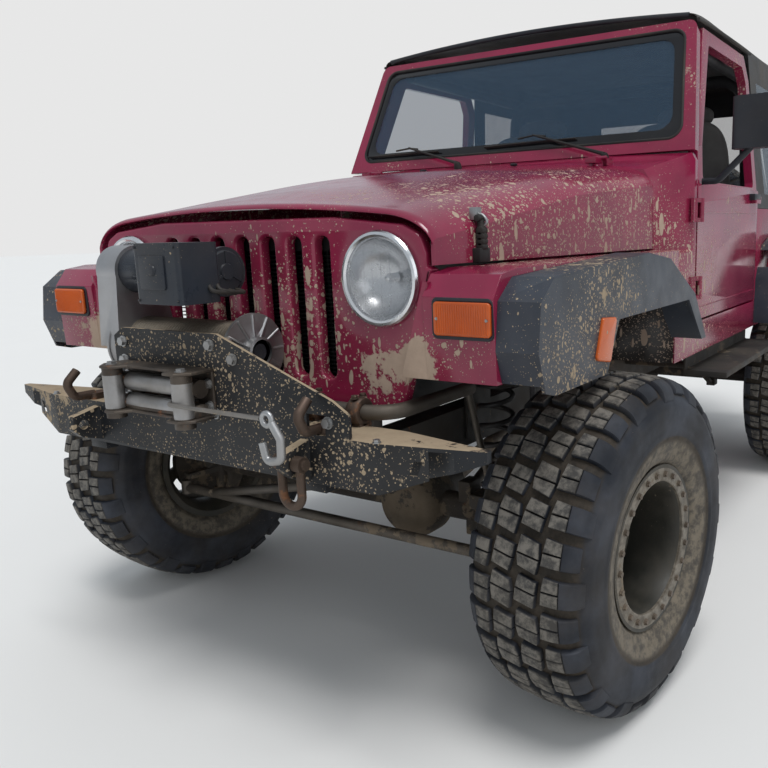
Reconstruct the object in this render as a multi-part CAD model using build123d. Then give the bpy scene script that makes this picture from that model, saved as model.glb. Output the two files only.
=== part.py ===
from build123d import *
import math
import os

# A lifted off-road 4x4 with a soft top, a stub bumper and an upright winch, in millimetres.
# X points forward and is counted from the front axle, Y to the vehicle's left, Z up from the ground.
# Each finished piece is moved by ORIGIN_SHIFT at the end, so that the written origin is on the
# ground under the middle of the vehicle.

# Running gear
WHEELBASE = 2372
HALF_TRACK = 815
TYRE_R = 424
TYRE_W = 314
RIM_R = 190
RIM_W = 262
DISC_OUT = -52
BOLT_CIRCLE_R = 57.15
STUD_COUNT = 5
STUD_HOLE_R = 7
HUB_BORE_R = 35.75
KINGPIN_Y = 658
STEER_ARM = 140
STEER_REST = -6
AXLE_TUBE_R = 38
DIFF_R = 108
DIFF_Y = 205
PINION_REACH = 175
LINK_R = 16

# Heights of the body
LIFT = 229
SILL_Z = 526 + LIFT
FLOOR_T = 40
DOOR_BOTTOM_Z = 645 + LIFT
RAIL_Z = 1035 + LIFT
WINDOW_SILL_Z = 1106 + LIFT
COWL_FRONT_Z = 1190 + LIFT
COWL_REAR_Z = 1217 + LIFT
HOOD_SEAM_Z = 897 + LIFT
GRILLE_TOP_Z = 1012 + LIFT
GRILLE_BOTTOM_Z = 570 + LIFT
FENDER_LOW_Z = 660 + LIFT
FLARE_LOW_Z = 636 + LIFT
SCREEN_TOP_Z = 1667 + LIFT
ROOF_Z = 1735 + LIFT

# Stations along the body
GRILLE_X = 412
GRILLE_T = 34
FENDER_FRONT_X = 448
FIREWALL_X = -696
SCREEN_BASE_X = -868
SCREEN_LEAN = 188
DOOR_FRONT_X = -905
DOOR_REAR_X = -1772
TUB_REAR_X = -WHEELBASE - 628

# Widths of the body
TUB_Y = 745
SCREEN_TOP_Y = 680
WALL_T = 42
SKIN_T = 8
FLARE_Y = 850
SHUT_GAP = 8
SEAT_GAP = 0.3

# Frame
RAIL_Y = 385
RAIL_W = 66
RAIL_H = 110
RAIL_LOW_Z = 396 + LIFT
RAIL_FRONT_X = 496
RAIL_REAR_X = -WHEELBASE - 668
CROSS_T = 60
RAIL_TOP_Z = RAIL_LOW_Z + RAIL_H
BELLY_DROP = 34
KICK_FRONT_X = -560
KICK_REAR_X = 442 - WHEELBASE
KICK_RUN = 140
BODY_MOUNTS_X = (-800, -1300, -1650, -WHEELBASE - 528)
BODY_MOUNT_R = 30

# Suspension and steering
SPRING_Y = RAIL_Y + 95
SPRING_R = 52
SPRING_LOW_Z = TYRE_R + 62
FRONT_SPRING_TOP_Z = RAIL_TOP_Z + 65
REAR_SPRING_TOP_Z = RAIL_TOP_Z - 10
SEAT_PLATE_T = 8
SHOCK_X = -95
SHOCK_Y = SPRING_Y + 60
SHOCK_R = 24
ARM_Y = RAIL_Y + 25
SHOCK_LOW_Z = TYRE_R
TRACK_BAR_X = -125
TRACK_BAR_R = 16
TRACK_BAR_AXLE_Y = 314
SWAY_Z = RAIL_TOP_Z + 80
SWAY_R = 17
SWAY_Y = SPRING_Y + 30
SWAY_X = 500
YOKE_GAP = 95
YOKE_T = 30
PITMAN_X = 100
PITMAN_Y = 318
PITMAN_Z = RAIL_LOW_Z - 62
PITMAN_T = 17
TIE_Z = TYRE_R - 62
ARM_RISE = 26
BALL_R = 19

# Wheel houses and tunnel of the tub
ARCH_Y = 590
ARCH_TOP_Z = RAIL_Z - 194
ARCH_HALF = 480
ARCH_T = 12
TUNNEL_Y = 150
TUNNEL_Z = SILL_Z + 175

# Grille and lamps
SLOT_PITCH = 88
SLOT_W = 46
SLOT_LOW_Z = 631 + LIFT
SLOT_TOP_Z = 965 + LIFT
LAMP_Y = 436
LAMP_Z = 869 + LIFT
LAMP_R = 89
BEZEL_R = 106
RADIATOR_T = 66
RADIATOR_HALF = 300
HOOD_T = 10

# Fenders
FENDER_TOP_Z = HOOD_SEAM_Z
FENDER_IN_Y = 579
FENDER_OUT_Y = 752
APRON_LOW_Y = 509
SIGNAL_Y = 680
SIGNAL_LOW_Z = HOOD_SEAM_Z - 140
SIGNAL_TOP_Z = HOOD_SEAM_Z - 66
FENDER_REAR_X = FIREWALL_X + SEAT_GAP

# Windscreen, doors, soft top
SCREEN_T = 44
GLASS_T = 6
TOP_T = 10
DOOR_T = 46
DOOR_FRAME_W = 50
HINGE_Y = TUB_Y + 16
HINGE_X = DOOR_FRONT_X + 3
HINGE_R = 9
HINGE_H = 50
KNUCKLE_H = 14
DOOR_HINGES_Z = (DOOR_BOTTOM_Z + 90, RAIL_Z - 40)
HOOD_PIVOT_X = FIREWALL_X
HOOD_PIVOT_Z = COWL_FRONT_Z + 4
HOOD_HINGE_Y = 470
HOOD_HINGE_W = 36
HOOD_KNUCKLE_R = 7
MIRROR_X = DOOR_FRONT_X
MIRROR_DEPTH = 62
MIRROR_IN_Y = 848
MIRROR_OUT_Y = 1000
MIRROR_LOW_Z = RAIL_Z + 178
MIRROR_TOP_Z = RAIL_Z + 343
MIRROR_ARM_Z = RAIL_Z + 81
SCREEN_CORNER_R = 34

# Front bumper and winch
BUMPER_X = 610
BUMPER_LOW_Z = 448 + LIFT
BUMPER_TOP_Z = 556 + LIFT
BUMPER_BEND_Y = 555
BUMPER_TIP_X = 562
BUMPER_TIP_Y = 795
PLATE_T = 8
PLATE_RIGHT_Y = -258
WING_HOLES_Y = 648
DRUM_X = BUMPER_X - 102
DRUM_Z = BUMPER_TOP_Z + 145
DRUM_FLANGE_R = 91
DRUM_R = 70
DRUM_RIGHT_Y = -262
DRUM_LEFT_Y = 118
CASE_RIGHT_Y = -340
TIE_BAR_X = BUMPER_X - 24
MOTOR_X = DRUM_X + 14
MOTOR_Z = DRUM_Z + 187
MOTOR_R = 56
MOTOR_LEFT_Y = 62
LUG_Y = 370
LUG_T = 24
SHACKLE_HOLE_R = 12.5
SHACKLE_PIN_R = 11
SHACKLE_R = 9.5
SHACKLE_HALF = 27
SHACKLE_LEG = 68
ROPE_R = 5
HOOK_R = 9
ROPE_Z = BUMPER_TOP_Z + 49
ROPE_SLOT_LOW_Z = ROPE_Z - 22
ROPE_SLOT_TOP_Z = ROPE_Z + 22
TOW_HOOK_Y = 405

# Tail
REAR_BUMPER_X = RAIL_REAR_X - 90
HITCH_INNER = 50.8
SPARE_Z = RAIL_Z - 64
SPARE_STANDOFF = 70
TAILGATE_Y = 455
GATE_HINGE_X = TUB_REAR_X - 16
GATE_HINGE_Y = -TAILGATE_Y - 24
GATE_HINGE_H = 60
GATE_HINGES_Z = (RAIL_Z - 364, RAIL_Z - 84)
MUFFLER_Y = -255
MUFFLER_Z = SILL_Z - 175
MUFFLER_R = 72

# Fairlead
FAIRLEAD_X = BUMPER_X + SEAT_GAP
FAIRLEAD_Y = -58
FAIRLEAD_HALF = 160
FAIRLEAD_REACH = 90
FAIRLEAD_LOW_Z = ROPE_Z - 58
FAIRLEAD_TOP_Z = ROPE_Z + 71
ROLLER_R = 23
ROLLER_X = FAIRLEAD_X + 63
ROLLER_Y = 126
SLOT_HALF = 110
ROPE_X = ROLLER_X + ROLLER_R + ROPE_R + SEAT_GAP

FRONT_REACH = ROPE_X + HOOK_R
REAR_REACH = SPARE_STANDOFF + TYRE_W - TUB_REAR_X
ORIGIN_SHIFT = (REAR_REACH - FRONT_REACH) / 2


def polygon(points):
    """A flat face through 3-D points."""
    return Face(Wire.make_polygon([Vector(*p) for p in points]))


def rounded(face, radius):
    """The face with every corner rounded."""
    return face.fillet_2d(radius, face.vertices())


def prism_xz(points, y0, y1, radius=0):
    """A side-view outline (x, z) carried from y0 to y1."""
    face = polygon([(x, y0, z) for x, z in points])
    face = rounded(face, radius) if radius else face
    return extrude(face, amount=y1 - y0, dir=(0, 1, 0))


def prism_yz(points, x0, x1, radius=0):
    """A front-view outline (y, z) carried from x0 to x1."""
    face = polygon([(x0, y, z) for y, z in points])
    face = rounded(face, radius) if radius else face
    return extrude(face, amount=x1 - x0, dir=(1, 0, 0))


def prism_xy(points, z0, z1, radius=0):
    """A top-view outline (x, y) carried from z0 to z1."""
    face = polygon([(x, y, z0) for x, y in points])
    face = rounded(face, radius) if radius else face
    return extrude(face, amount=z1 - z0, dir=(0, 0, 1))


def block(x0, x1, y0, y1, z0, z1, radius=0):
    """A box between two corners, its upright edges rounded."""
    return prism_xy([(x0, y0), (x1, y0), (x1, y1), (x0, y1)], z0, z1, radius)


def rod(start, end, radius):
    """A round bar between two points."""
    a, b = Vector(*start), Vector(*end)
    face = Plane(origin=a, z_dir=b - a) * Circle(radius)
    return extrude(face, amount=(b - a).length, dir=(b - a).normalized())


def shaft(start, end, radius, square_to=(1, 0, 0)):
    """A round bar whose ends stay square to an axis, to meet upright faces."""
    a, b = Vector(*start), Vector(*end)
    face = Plane(origin=a, z_dir=square_to) * Circle(radius)
    return extrude(face, amount=(b - a).length, dir=(b - a).normalized())


def pipe(points, radius, bend):
    """A round bar along straight runs joined by arcs."""
    path = FilletPolyline(*points, radius=bend)
    section = Plane(origin=path @ 0, z_dir=path % 0) * Circle(radius)
    return sweep(section, path=path)


def turned(profile, centre, axis_dir=(0, 1, 0)):
    """A ring or disc turned from a half section of (radius, offset along the axis)."""
    face = polygon([(r, 0, h) for r, h in profile])
    body = revolve(face, axis=Axis.Z)
    return Plane(origin=centre, z_dir=axis_dir) * body


def both_sides(shape):
    """The shape and its mirror image across the middle plane."""
    return [shape, mirror(shape, about=Plane.XZ)]


def half_to_full(points):
    """A closed front-view outline from its left half, listed from the bottom up."""
    return points + [(-y, z) for y, z in reversed(points) if y > 0]


NODES = {}


def keep(name, *shapes):
    """Files shapes under a node's name."""
    solids = NODES.setdefault(name, [])
    for shape in shapes:
        solids.extend(shape.solids())


# Frame: two boxed rails with the body mounts, and between them the cross members and the belly plate

# x and lower z of the control arm brackets: front lower, front upper, rear lower, rear upper
ARM_BRACKETS = [
    (-455, RAIL_LOW_Z - 49), (-330, RAIL_LOW_Z - 31),
    (452 - WHEELBASE, RAIL_LOW_Z - 49), (332 - WHEELBASE, RAIL_LOW_Z - 31),
]
# Axle x, side of the frame end, z of the frame end, z of the axle end of the track bars
TRACK_BARS = [(0, 1, RAIL_LOW_Z, TYRE_R + 46), (-WHEELBASE, -1, RAIL_LOW_Z + 25, TYRE_R + 56)]
RAIL_INNER_Y = RAIL_Y - RAIL_W / 2
TRACK_BRACKET_Y = RAIL_INNER_Y - 16


def make_frame():
    low_z, top_z = RAIL_LOW_Z - BELLY_DROP, RAIL_TOP_Z - BELLY_DROP
    kick_front, kick_rear = KICK_FRONT_X - KICK_RUN, KICK_REAR_X + KICK_RUN
    side = [
        (RAIL_FRONT_X, RAIL_LOW_Z), (RAIL_FRONT_X, RAIL_TOP_Z), (KICK_FRONT_X, RAIL_TOP_Z),
        (kick_front, top_z), (kick_rear, top_z), (KICK_REAR_X, RAIL_TOP_Z), (RAIL_REAR_X, RAIL_TOP_Z),
        (RAIL_REAR_X, RAIL_LOW_Z), (KICK_REAR_X, RAIL_LOW_Z), (kick_rear, low_z), (kick_front, low_z),
        (KICK_FRONT_X, RAIL_LOW_Z),
    ]
    rail = prism_xz(side, RAIL_Y - RAIL_W / 2, RAIL_Y + RAIL_W / 2)
    frame = rail + mirror(rail, about=Plane.XZ)
    inner, outer = RAIL_INNER_Y, RAIL_Y + RAIL_W / 2
    # Cross members: x of the front face, length along x, lower z, height
    crosses = [
        (RAIL_FRONT_X - 40, CROSS_T, RAIL_LOW_Z + 10, 80),
        (-1160, 340, low_z, 10),
        (412 - WHEELBASE, CROSS_T, RAIL_LOW_Z + 15, 80),
        (RAIL_REAR_X + CROSS_T, CROSS_T, RAIL_LOW_Z, RAIL_H),
    ]
    half = inner - SEAT_GAP
    for x_front, length, low, height in crosses:
        keep("cross_members", block(x_front - length, x_front, -half, half, low, low + height))
    grille_mount_x = GRILLE_X - GRILLE_T / 2
    for y in (-RAIL_Y, RAIL_Y):
        for x in BODY_MOUNTS_X:
            frame += rod((x, y, top_z - 5), (x, y, SILL_Z - SEAT_GAP), BODY_MOUNT_R)
        frame += rod((grille_mount_x, y, RAIL_TOP_Z - 5), (grille_mount_x, y, GRILLE_BOTTOM_Z - SEAT_GAP), 16)
    # Plates over the springs and shock absorbers, and their webs on the rails: axle x, underside z
    for x_axle, under in ((0, FRONT_SPRING_TOP_Z), (-WHEELBASE, REAR_SPRING_TOP_Z)):
        top = under + SEAT_PLATE_T
        plate = block(x_axle + SHOCK_X - 32, x_axle + 60, outer - 4, SHOCK_Y + 30, under, top)
        plate += block(x_axle - 60, x_axle + 60, outer - 4, outer + 6, RAIL_LOW_Z + 20, top)
        for piece in both_sides(plate):
            frame += piece
    # Brackets under the rails for the control arms: x, lower z
    for x, low in ARM_BRACKETS:
        for y in (-RAIL_Y, RAIL_Y):
            frame += block(x - 16, x + 16, y - 18, y + 18, low, RAIL_LOW_Z + 5)
    # Track bar brackets
    for x_axle, sign, z_frame, _ in TRACK_BARS:
        x = x_axle + TRACK_BAR_X
        edge = sorted((sign * TRACK_BRACKET_Y, sign * (inner + 4)))
        frame += block(x - 26, x + 26, edge[0], edge[1], z_frame - 24, RAIL_LOW_Z + 60)
    # Steering box on the left rail, its shaft pointing down
    box_y = PITMAN_Y - 45
    frame += block(PITMAN_X - 45, PITMAN_X + 45, box_y, inner + 5, RAIL_LOW_Z - 20, RAIL_TOP_Z - 8, 12)
    shaft_low = PITMAN_Z + BALL_R + 1 + PITMAN_T
    frame += rod((PITMAN_X, PITMAN_Y, shaft_low), (PITMAN_X, PITMAN_Y, RAIL_LOW_Z - 10), 17)
    keep("frame_rails", frame)


# Tub: a hollow box open at the top, with cowl, door openings, wheel houses and a tail opening

# Half sections of the cowl from the sill up (y, z), at the firewall and at the windscreen
COWL_FRONT = [
    (TUB_Y, SILL_Z), (TUB_Y, HOOD_SEAM_Z - 14), (667, HOOD_SEAM_Z - 4), (661, COWL_FRONT_Z - 92),
    (630, COWL_FRONT_Z - 40), (350, COWL_FRONT_Z - 10), (0, COWL_FRONT_Z - 2),
]
COWL_REAR = [
    (TUB_Y, SILL_Z), (TUB_Y, HOOD_SEAM_Z - 14), (TUB_Y, HOOD_SEAM_Z - 4), (TUB_Y, COWL_REAR_Z - 34),
    (732, COWL_REAR_Z - 10), (420, COWL_REAR_Z - 2), (0, COWL_REAR_Z - 2),
]


def make_tub():
    floor_z = SILL_Z + FLOOR_T
    inner_y = TUB_Y - WALL_T
    post_x = DOOR_FRONT_X + SHUT_GAP
    front = polygon([(FIREWALL_X, y, z) for y, z in half_to_full(COWL_FRONT)])
    rear = polygon([(SCREEN_BASE_X, y, z) for y, z in half_to_full(COWL_REAR)])
    tub = loft([front, rear], ruled=True) + extrude(rear, amount=SCREEN_BASE_X - post_x, dir=(-1, 0, 0))
    side = [
        (post_x + 10, SILL_Z), (post_x + 10, DOOR_BOTTOM_Z - SHUT_GAP),
        (DOOR_REAR_X - SHUT_GAP, DOOR_BOTTOM_Z - SHUT_GAP), (DOOR_REAR_X - SHUT_GAP, RAIL_Z),
        (TUB_REAR_X, RAIL_Z), (TUB_REAR_X, SILL_Z),
    ]
    tub += prism_xz(side, -TUB_Y, TUB_Y)
    # Cabin space: footwells under the cowl, then the open body behind the door posts
    tub -= block(post_x - 5, FIREWALL_X - 40, -inner_y, inner_y, floor_z, HOOD_SEAM_Z - 20)
    tub -= block(post_x - 5, FIREWALL_X - 40, -620, 620, HOOD_SEAM_Z - 30, COWL_FRONT_Z - 90)
    tub -= block(TUB_REAR_X + WALL_T, post_x + 20, -inner_y, inner_y, floor_z, COWL_FRONT_Z - 90)
    # Gearbox tunnel
    tub += block(-1560, FIREWALL_X - 20, -TUNNEL_Y, TUNNEL_Y, floor_z - 5, TUNNEL_Z)
    tub -= block(-1545, FIREWALL_X + 5, -TUNNEL_Y + 15, TUNNEL_Y - 15, SILL_Z - 5, TUNNEL_Z - 15)
    # Rear wheel houses, from the side: x from the rear axle and z
    opening = [
        (-ARCH_HALF - 20, SILL_Z - 5), (-ARCH_HALF + 70, ARCH_TOP_Z - 30), (ARCH_HALF - 130, ARCH_TOP_Z - 30),
        (ARCH_HALF - 10, SILL_Z - 5),
    ]
    house = [
        (-ARCH_HALF - 40, SILL_Z), (-ARCH_HALF + 58, ARCH_TOP_Z - ARCH_T),
        (ARCH_HALF - 118, ARCH_TOP_Z - ARCH_T), (ARCH_HALF + 10, SILL_Z),
    ]
    opening = [(x - WHEELBASE, z) for x, z in opening]
    house = [(x - WHEELBASE, z) for x, z in house]
    for piece in both_sides(prism_xz(house, ARCH_Y - ARCH_T, TUB_Y - 10)):
        tub += piece
    for piece in both_sides(prism_xz(opening, ARCH_Y, TUB_Y + 5)):
        tub -= piece
    # Tail opening
    gap = TAILGATE_Y + SHUT_GAP
    tub -= block(TUB_REAR_X - 5, TUB_REAR_X + WALL_T + 5, -gap, gap, floor_z + 20, RAIL_Z + 5)
    # Hinge leaves on the door posts
    for z in DOOR_HINGES_Z:
        low, high = z - KNUCKLE_H - SEAT_GAP, z + HINGE_H + SEAT_GAP
        leaf = block(HINGE_X + HINGE_R + SHUT_GAP, HINGE_X + 62, TUB_Y - 2, TUB_Y + 8, low, high + KNUCKLE_H)
        for start in (low, high):
            leaf += block(HINGE_X, HINGE_X + 30, TUB_Y - 2, HINGE_Y, start, start + KNUCKLE_H)
            leaf += rod((HINGE_X, HINGE_Y, start), (HINGE_X, HINGE_Y, start + KNUCKLE_H), HINGE_R)
        for piece in both_sides(leaf):
            tub += piece
    # Tailgate hinge leaves beside the tail opening
    for z in GATE_HINGES_Z:
        low, high = z - KNUCKLE_H - SEAT_GAP, z + GATE_HINGE_H + SEAT_GAP
        y = GATE_HINGE_Y - HINGE_R - SHUT_GAP
        tub += block(TUB_REAR_X - 8, TUB_REAR_X + 2, y - 50, y, low, high + KNUCKLE_H)
        for start in (low, high):
            end = start + KNUCKLE_H
            tub += block(GATE_HINGE_X, TUB_REAR_X + 2, y - 20, GATE_HINGE_Y, start, end)
            tub += rod((GATE_HINGE_X, GATE_HINGE_Y, start), (GATE_HINGE_X, GATE_HINGE_Y, end), HINGE_R)
    # Hood hinge leaves on the cowl, a knuckle each side of the hood's own
    for y in (-HOOD_HINGE_Y, HOOD_HINGE_Y):
        for side in (-1, 1):
            near, far = y + side * (HOOD_HINGE_W / 2 + SEAT_GAP), y + side * (HOOD_HINGE_W / 2 + KNUCKLE_H)
            low_y, high_y = sorted((near, far))
            x, z = HOOD_PIVOT_X, HOOD_PIVOT_Z
            tub += block(x - 56, x, low_y, high_y, COWL_FRONT_Z - 20, z)
            tub += rod((x, low_y, z), (x, high_y, z), HOOD_KNUCKLE_R)
    keep("body_tub", tub)


# Front end: grille with seven slots and two lamp holes, radiator behind it

def make_grille():
    outline = half_to_full([
        (480, GRILLE_BOTTOM_Z), (575, HOOD_SEAM_Z - 5), (560, HOOD_SEAM_Z - 5), (561, HOOD_SEAM_Z + 26),
        (545, HOOD_SEAM_Z + 68), (500, HOOD_SEAM_Z + 90), (300, GRILLE_TOP_Z - 5), (0, GRILLE_TOP_Z + 2),
    ])
    shell = prism_yz(outline, GRILLE_X - GRILLE_T, GRILLE_X)
    for index in range(-3, 4):
        y = index * SLOT_PITCH
        slot = [
            (y - SLOT_W / 2, SLOT_LOW_Z), (y + SLOT_W / 2, SLOT_LOW_Z),
            (y + SLOT_W / 2, SLOT_TOP_Z), (y - SLOT_W / 2, SLOT_TOP_Z),
        ]
        shell -= prism_yz(slot, GRILLE_X - GRILLE_T - 5, GRILLE_X + 5, 14)
    for y in (-LAMP_Y, LAMP_Y):
        shell -= rod((GRILLE_X - GRILLE_T - 5, y, LAMP_Z), (GRILLE_X + 5, y, LAMP_Z), BEZEL_R - 8)
    keep("grille_shell", shell)
    # Bezel, bowl and lens of each headlamp in one turned solid: radius, offset forward
    lamp = [
        (0, -70), (60, -60), (BEZEL_R - 9, -20), (BEZEL_R - 9, 0.3), (BEZEL_R, 0.3), (BEZEL_R - 2, 12),
        (LAMP_R, 16), (LAMP_R - 4, 10), (60, 20), (0, 26),
    ]
    for y in (-LAMP_Y, LAMP_Y):
        keep("headlamps", turned(lamp, (GRILLE_X, y, LAMP_Z), (1, 0, 0)))
    back_x = GRILLE_X - GRILLE_T - SEAT_GAP
    core_low, core_top = GRILLE_BOTTOM_Z + 20, GRILLE_TOP_Z - 45
    keep("radiator", block(back_x - RADIATOR_T, back_x, -RADIATOR_HALF, RADIATOR_HALF, core_low, core_top))


# Hood: a curved skin lofted through stations, hinged at the cowl

# Heights are over the hood seam.
# x, seam half-width, shoulder y, shoulder height, crown-side y, crown-side height, middle height
HOOD_STATIONS = [
    (414, 584, 557, 99, 300, 129, 135),
    (388, 585, 560, 112, 300, 143, 149),
    (200, 597, 570, 142, 310, 178, 185),
    (-200, 626, 600, 211, 330, 242, 250),
    (-692, 665, 641, 253, 350, 283, 292),
]


def hood_section(station, inset, extra_x=0):
    x, seam_y, shoulder_y, shoulder, crown_y, crown, middle = station
    shoulder_z, crown_z, middle_z = (HOOD_SEAM_Z + rise for rise in (shoulder, crown, middle))
    low = HOOD_SEAM_Z + 2 - (5 if inset else 0)
    half = [
        (seam_y - inset, low), (seam_y - 2 - inset, shoulder_z - 52 - inset),
        (shoulder_y - inset, shoulder_z - inset), (crown_y, crown_z - inset), (0, middle_z - inset),
    ]
    return polygon([(x + extra_x, y, z) for y, z in half_to_full(half)])


def make_hood():
    outer = loft([hood_section(s, 0) for s in HOOD_STATIONS], ruled=True)
    last = len(HOOD_STATIONS) - 1
    shifts = [3 if i == 0 else -3 if i == last else 0 for i in range(last + 1)]
    inner = loft([hood_section(s, HOOD_T, dx) for s, dx in zip(HOOD_STATIONS, shifts)], ruled=True)
    hood = outer - inner
    # Hinge leaves at the rear edge
    for y in (-HOOD_HINGE_Y, HOOD_HINGE_Y):
        low_y, high_y = y - HOOD_HINGE_W / 2, y + HOOD_HINGE_W / 2
        hood += block(HOOD_PIVOT_X, HOOD_PIVOT_X + 56, low_y, high_y, COWL_FRONT_Z - 28, HOOD_PIVOT_Z)
        hood += rod((HOOD_PIVOT_X, low_y, HOOD_PIVOT_Z), (HOOD_PIVOT_X, high_y, HOOD_PIVOT_Z), HOOD_KNUCKLE_R)
    keep("hood", hood)


# Front fenders with their flares

def make_fenders():
    # Side view of the skin, x and z
    outer = [
        (FENDER_FRONT_X, FENDER_LOW_Z), (FENDER_FRONT_X + 8, FENDER_TOP_Z - 60),
        (FENDER_FRONT_X - 26, FENDER_TOP_Z - 14), (FENDER_FRONT_X - 90, FENDER_TOP_Z - 4),
        (FENDER_REAR_X, FENDER_TOP_Z - 4), (FENDER_REAR_X, FENDER_LOW_Z + 90),
        (FENDER_REAR_X + 90, FENDER_LOW_Z + 160), (FENDER_FRONT_X - 150, FENDER_LOW_Z + 160),
        (FENDER_FRONT_X - 110, FENDER_LOW_Z),
    ]
    inner = [
        (FENDER_FRONT_X - SKIN_T, FENDER_LOW_Z - 5), (FENDER_FRONT_X - SKIN_T, FENDER_TOP_Z - 62),
        (FENDER_FRONT_X - 34, FENDER_TOP_Z - 20 - SKIN_T), (FENDER_FRONT_X - 92, FENDER_TOP_Z - 10 - SKIN_T),
        (FENDER_REAR_X - 5, FENDER_TOP_Z - 10 - SKIN_T), (FENDER_REAR_X - 5, FENDER_LOW_Z - 5),
    ]
    fender = prism_xz(outer, FENDER_IN_Y, FENDER_OUT_Y)
    fender -= prism_xz(inner, FENDER_IN_Y + SKIN_T, FENDER_OUT_Y - SKIN_T)
    # Front apron, reaching inward along the grille's slanted side, with a wall back to the grille
    apron = [
        (FENDER_IN_Y, FENDER_TOP_Z - 70), (FENDER_OUT_Y, FENDER_TOP_Z - 70), (FENDER_OUT_Y, FENDER_LOW_Z),
        (APRON_LOW_Y, FENDER_LOW_Z), (FENDER_IN_Y - 4, FENDER_TOP_Z - 30),
    ]
    wall = [
        (APRON_LOW_Y, FENDER_LOW_Z), (APRON_LOW_Y + SKIN_T, FENDER_LOW_Z),
        (FENDER_IN_Y + SKIN_T, FENDER_TOP_Z - 30), (FENDER_IN_Y - 4, FENDER_TOP_Z - 30),
    ]
    fender += prism_yz(apron, FENDER_FRONT_X - SKIN_T, FENDER_FRONT_X)
    fender += prism_yz(wall, GRILLE_X - GRILLE_T, FENDER_FRONT_X)
    keep("front_fenders", *both_sides(fender))


# Flares: the outer side view, then the wheel opening. x from the axle, z from the foot of the front flare
FRONT_FLARE = [
    (424, 12), (452, 95), (440, 195), (380, 241), (-160, 269), (-330, 247), (-560, 135), (-690, -15),
    (-640, -15), (-500, 120), (40, 120), (112, 0), (380, 0),
]
REAR_FLARE = [
    (588, -96), (576, 95), (480, 245), (330, 285), (-330, 285), (-430, 235), (-560, -85),
    (-510, -85), (-400, 145), (340, 145), (480, 15), (530, -96),
]


def flare(points, origin_x, y_in):
    foot = FLARE_LOW_Z
    side = [(x + origin_x, foot + z) for x, z in points]
    shell = prism_xz(side, y_in, FLARE_Y)
    low_z = min(z for x, z in side)
    xs = [x for x, z in side]
    # Hollow behind the outer face, its top and front walls left
    hollow = [
        (max(xs) - 26, low_z - 10), (max(xs) - 20, foot + 85), (max(xs) - 60, foot + 183),
        (max(xs) - 90, foot + 219), (min(xs) + 330, foot + 235), (min(xs) + 170, foot + 125),
        (min(xs) + 74, low_z - 10),
    ]
    shell -= prism_xz(hollow, y_in - 5, FLARE_Y - SKIN_T)
    return shell


def make_flares():
    for shape in both_sides(flare(FRONT_FLARE, 0, FENDER_OUT_Y + SEAT_GAP)):
        keep("fender_flares", shape)
    for shape in both_sides(flare(REAR_FLARE, -WHEELBASE, TUB_Y + SEAT_GAP)):
        keep("fender_flares", shape)


# Windscreen frame and glass, drawn in the plane of the leaning screen

SCREEN_LEN = math.hypot(SCREEN_LEAN, SCREEN_TOP_Z - COWL_REAR_Z)
SCREEN_RISE = SCREEN_TOP_Z - COWL_REAR_Z
SCREEN_FOOT = (SCREEN_BASE_X, 0, COWL_REAR_Z)
SCREEN_PLANE = Plane(origin=SCREEN_FOOT, x_dir=(0, 1, 0), z_dir=(SCREEN_RISE, 0, SCREEN_LEAN))


def screen_face(bottom_y, top_y, low, high, radius=0):
    points = [(-bottom_y, low), (bottom_y, low), (top_y, high), (-top_y, high)]
    face = polygon([(y, s, 0) for y, s in points])
    return rounded(face, radius) if radius else face


def make_windscreen():
    outer = screen_face(TUB_Y - 2, SCREEN_TOP_Y, 0.5, SCREEN_LEN)
    outer = outer.fillet_2d(SCREEN_CORNER_R, outer.vertices().sort_by(Axis.Y)[-2:])
    window = screen_face(692, 646, 44, SCREEN_LEN - 30, 46)
    frame = extrude(outer, amount=-SCREEN_T, dir=(0, 0, 1)) - extrude(window, amount=-SCREEN_T, dir=(0, 0, 1))
    rim = screen_face(700, 654, 36, SCREEN_LEN - 22, 54)
    glass_seat = Pos(0, 0, -4) * extrude(rim, amount=-GLASS_T - 2, dir=(0, 0, 1))
    frame -= glass_seat
    pane = screen_face(700 - 1, 654 - 1, 37, SCREEN_LEN - 23, 53)
    pane = Pos(0, 0, -5) * extrude(pane, amount=-GLASS_T, dir=(0, 0, 1))
    placed = SCREEN_PLANE * frame
    foot_z = COWL_REAR_Z - 2 + SEAT_GAP
    placed -= block(SCREEN_BASE_X - 200, SCREEN_BASE_X + 200, -TUB_Y, TUB_Y, foot_z - 60, foot_z)
    keep("windscreen_frame", placed)
    keep("windscreen_glass", SCREEN_PLANE * pane)


# Soft top: a hollow shell from the windscreen header to the tail, with three clear windows

SIDE_LEAN = math.degrees(math.atan((TUB_Y - SCREEN_TOP_Y) / (SCREEN_TOP_Z - RAIL_Z)))
HEADER_X = SCREEN_BASE_X - SCREEN_LEAN - 2


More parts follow.
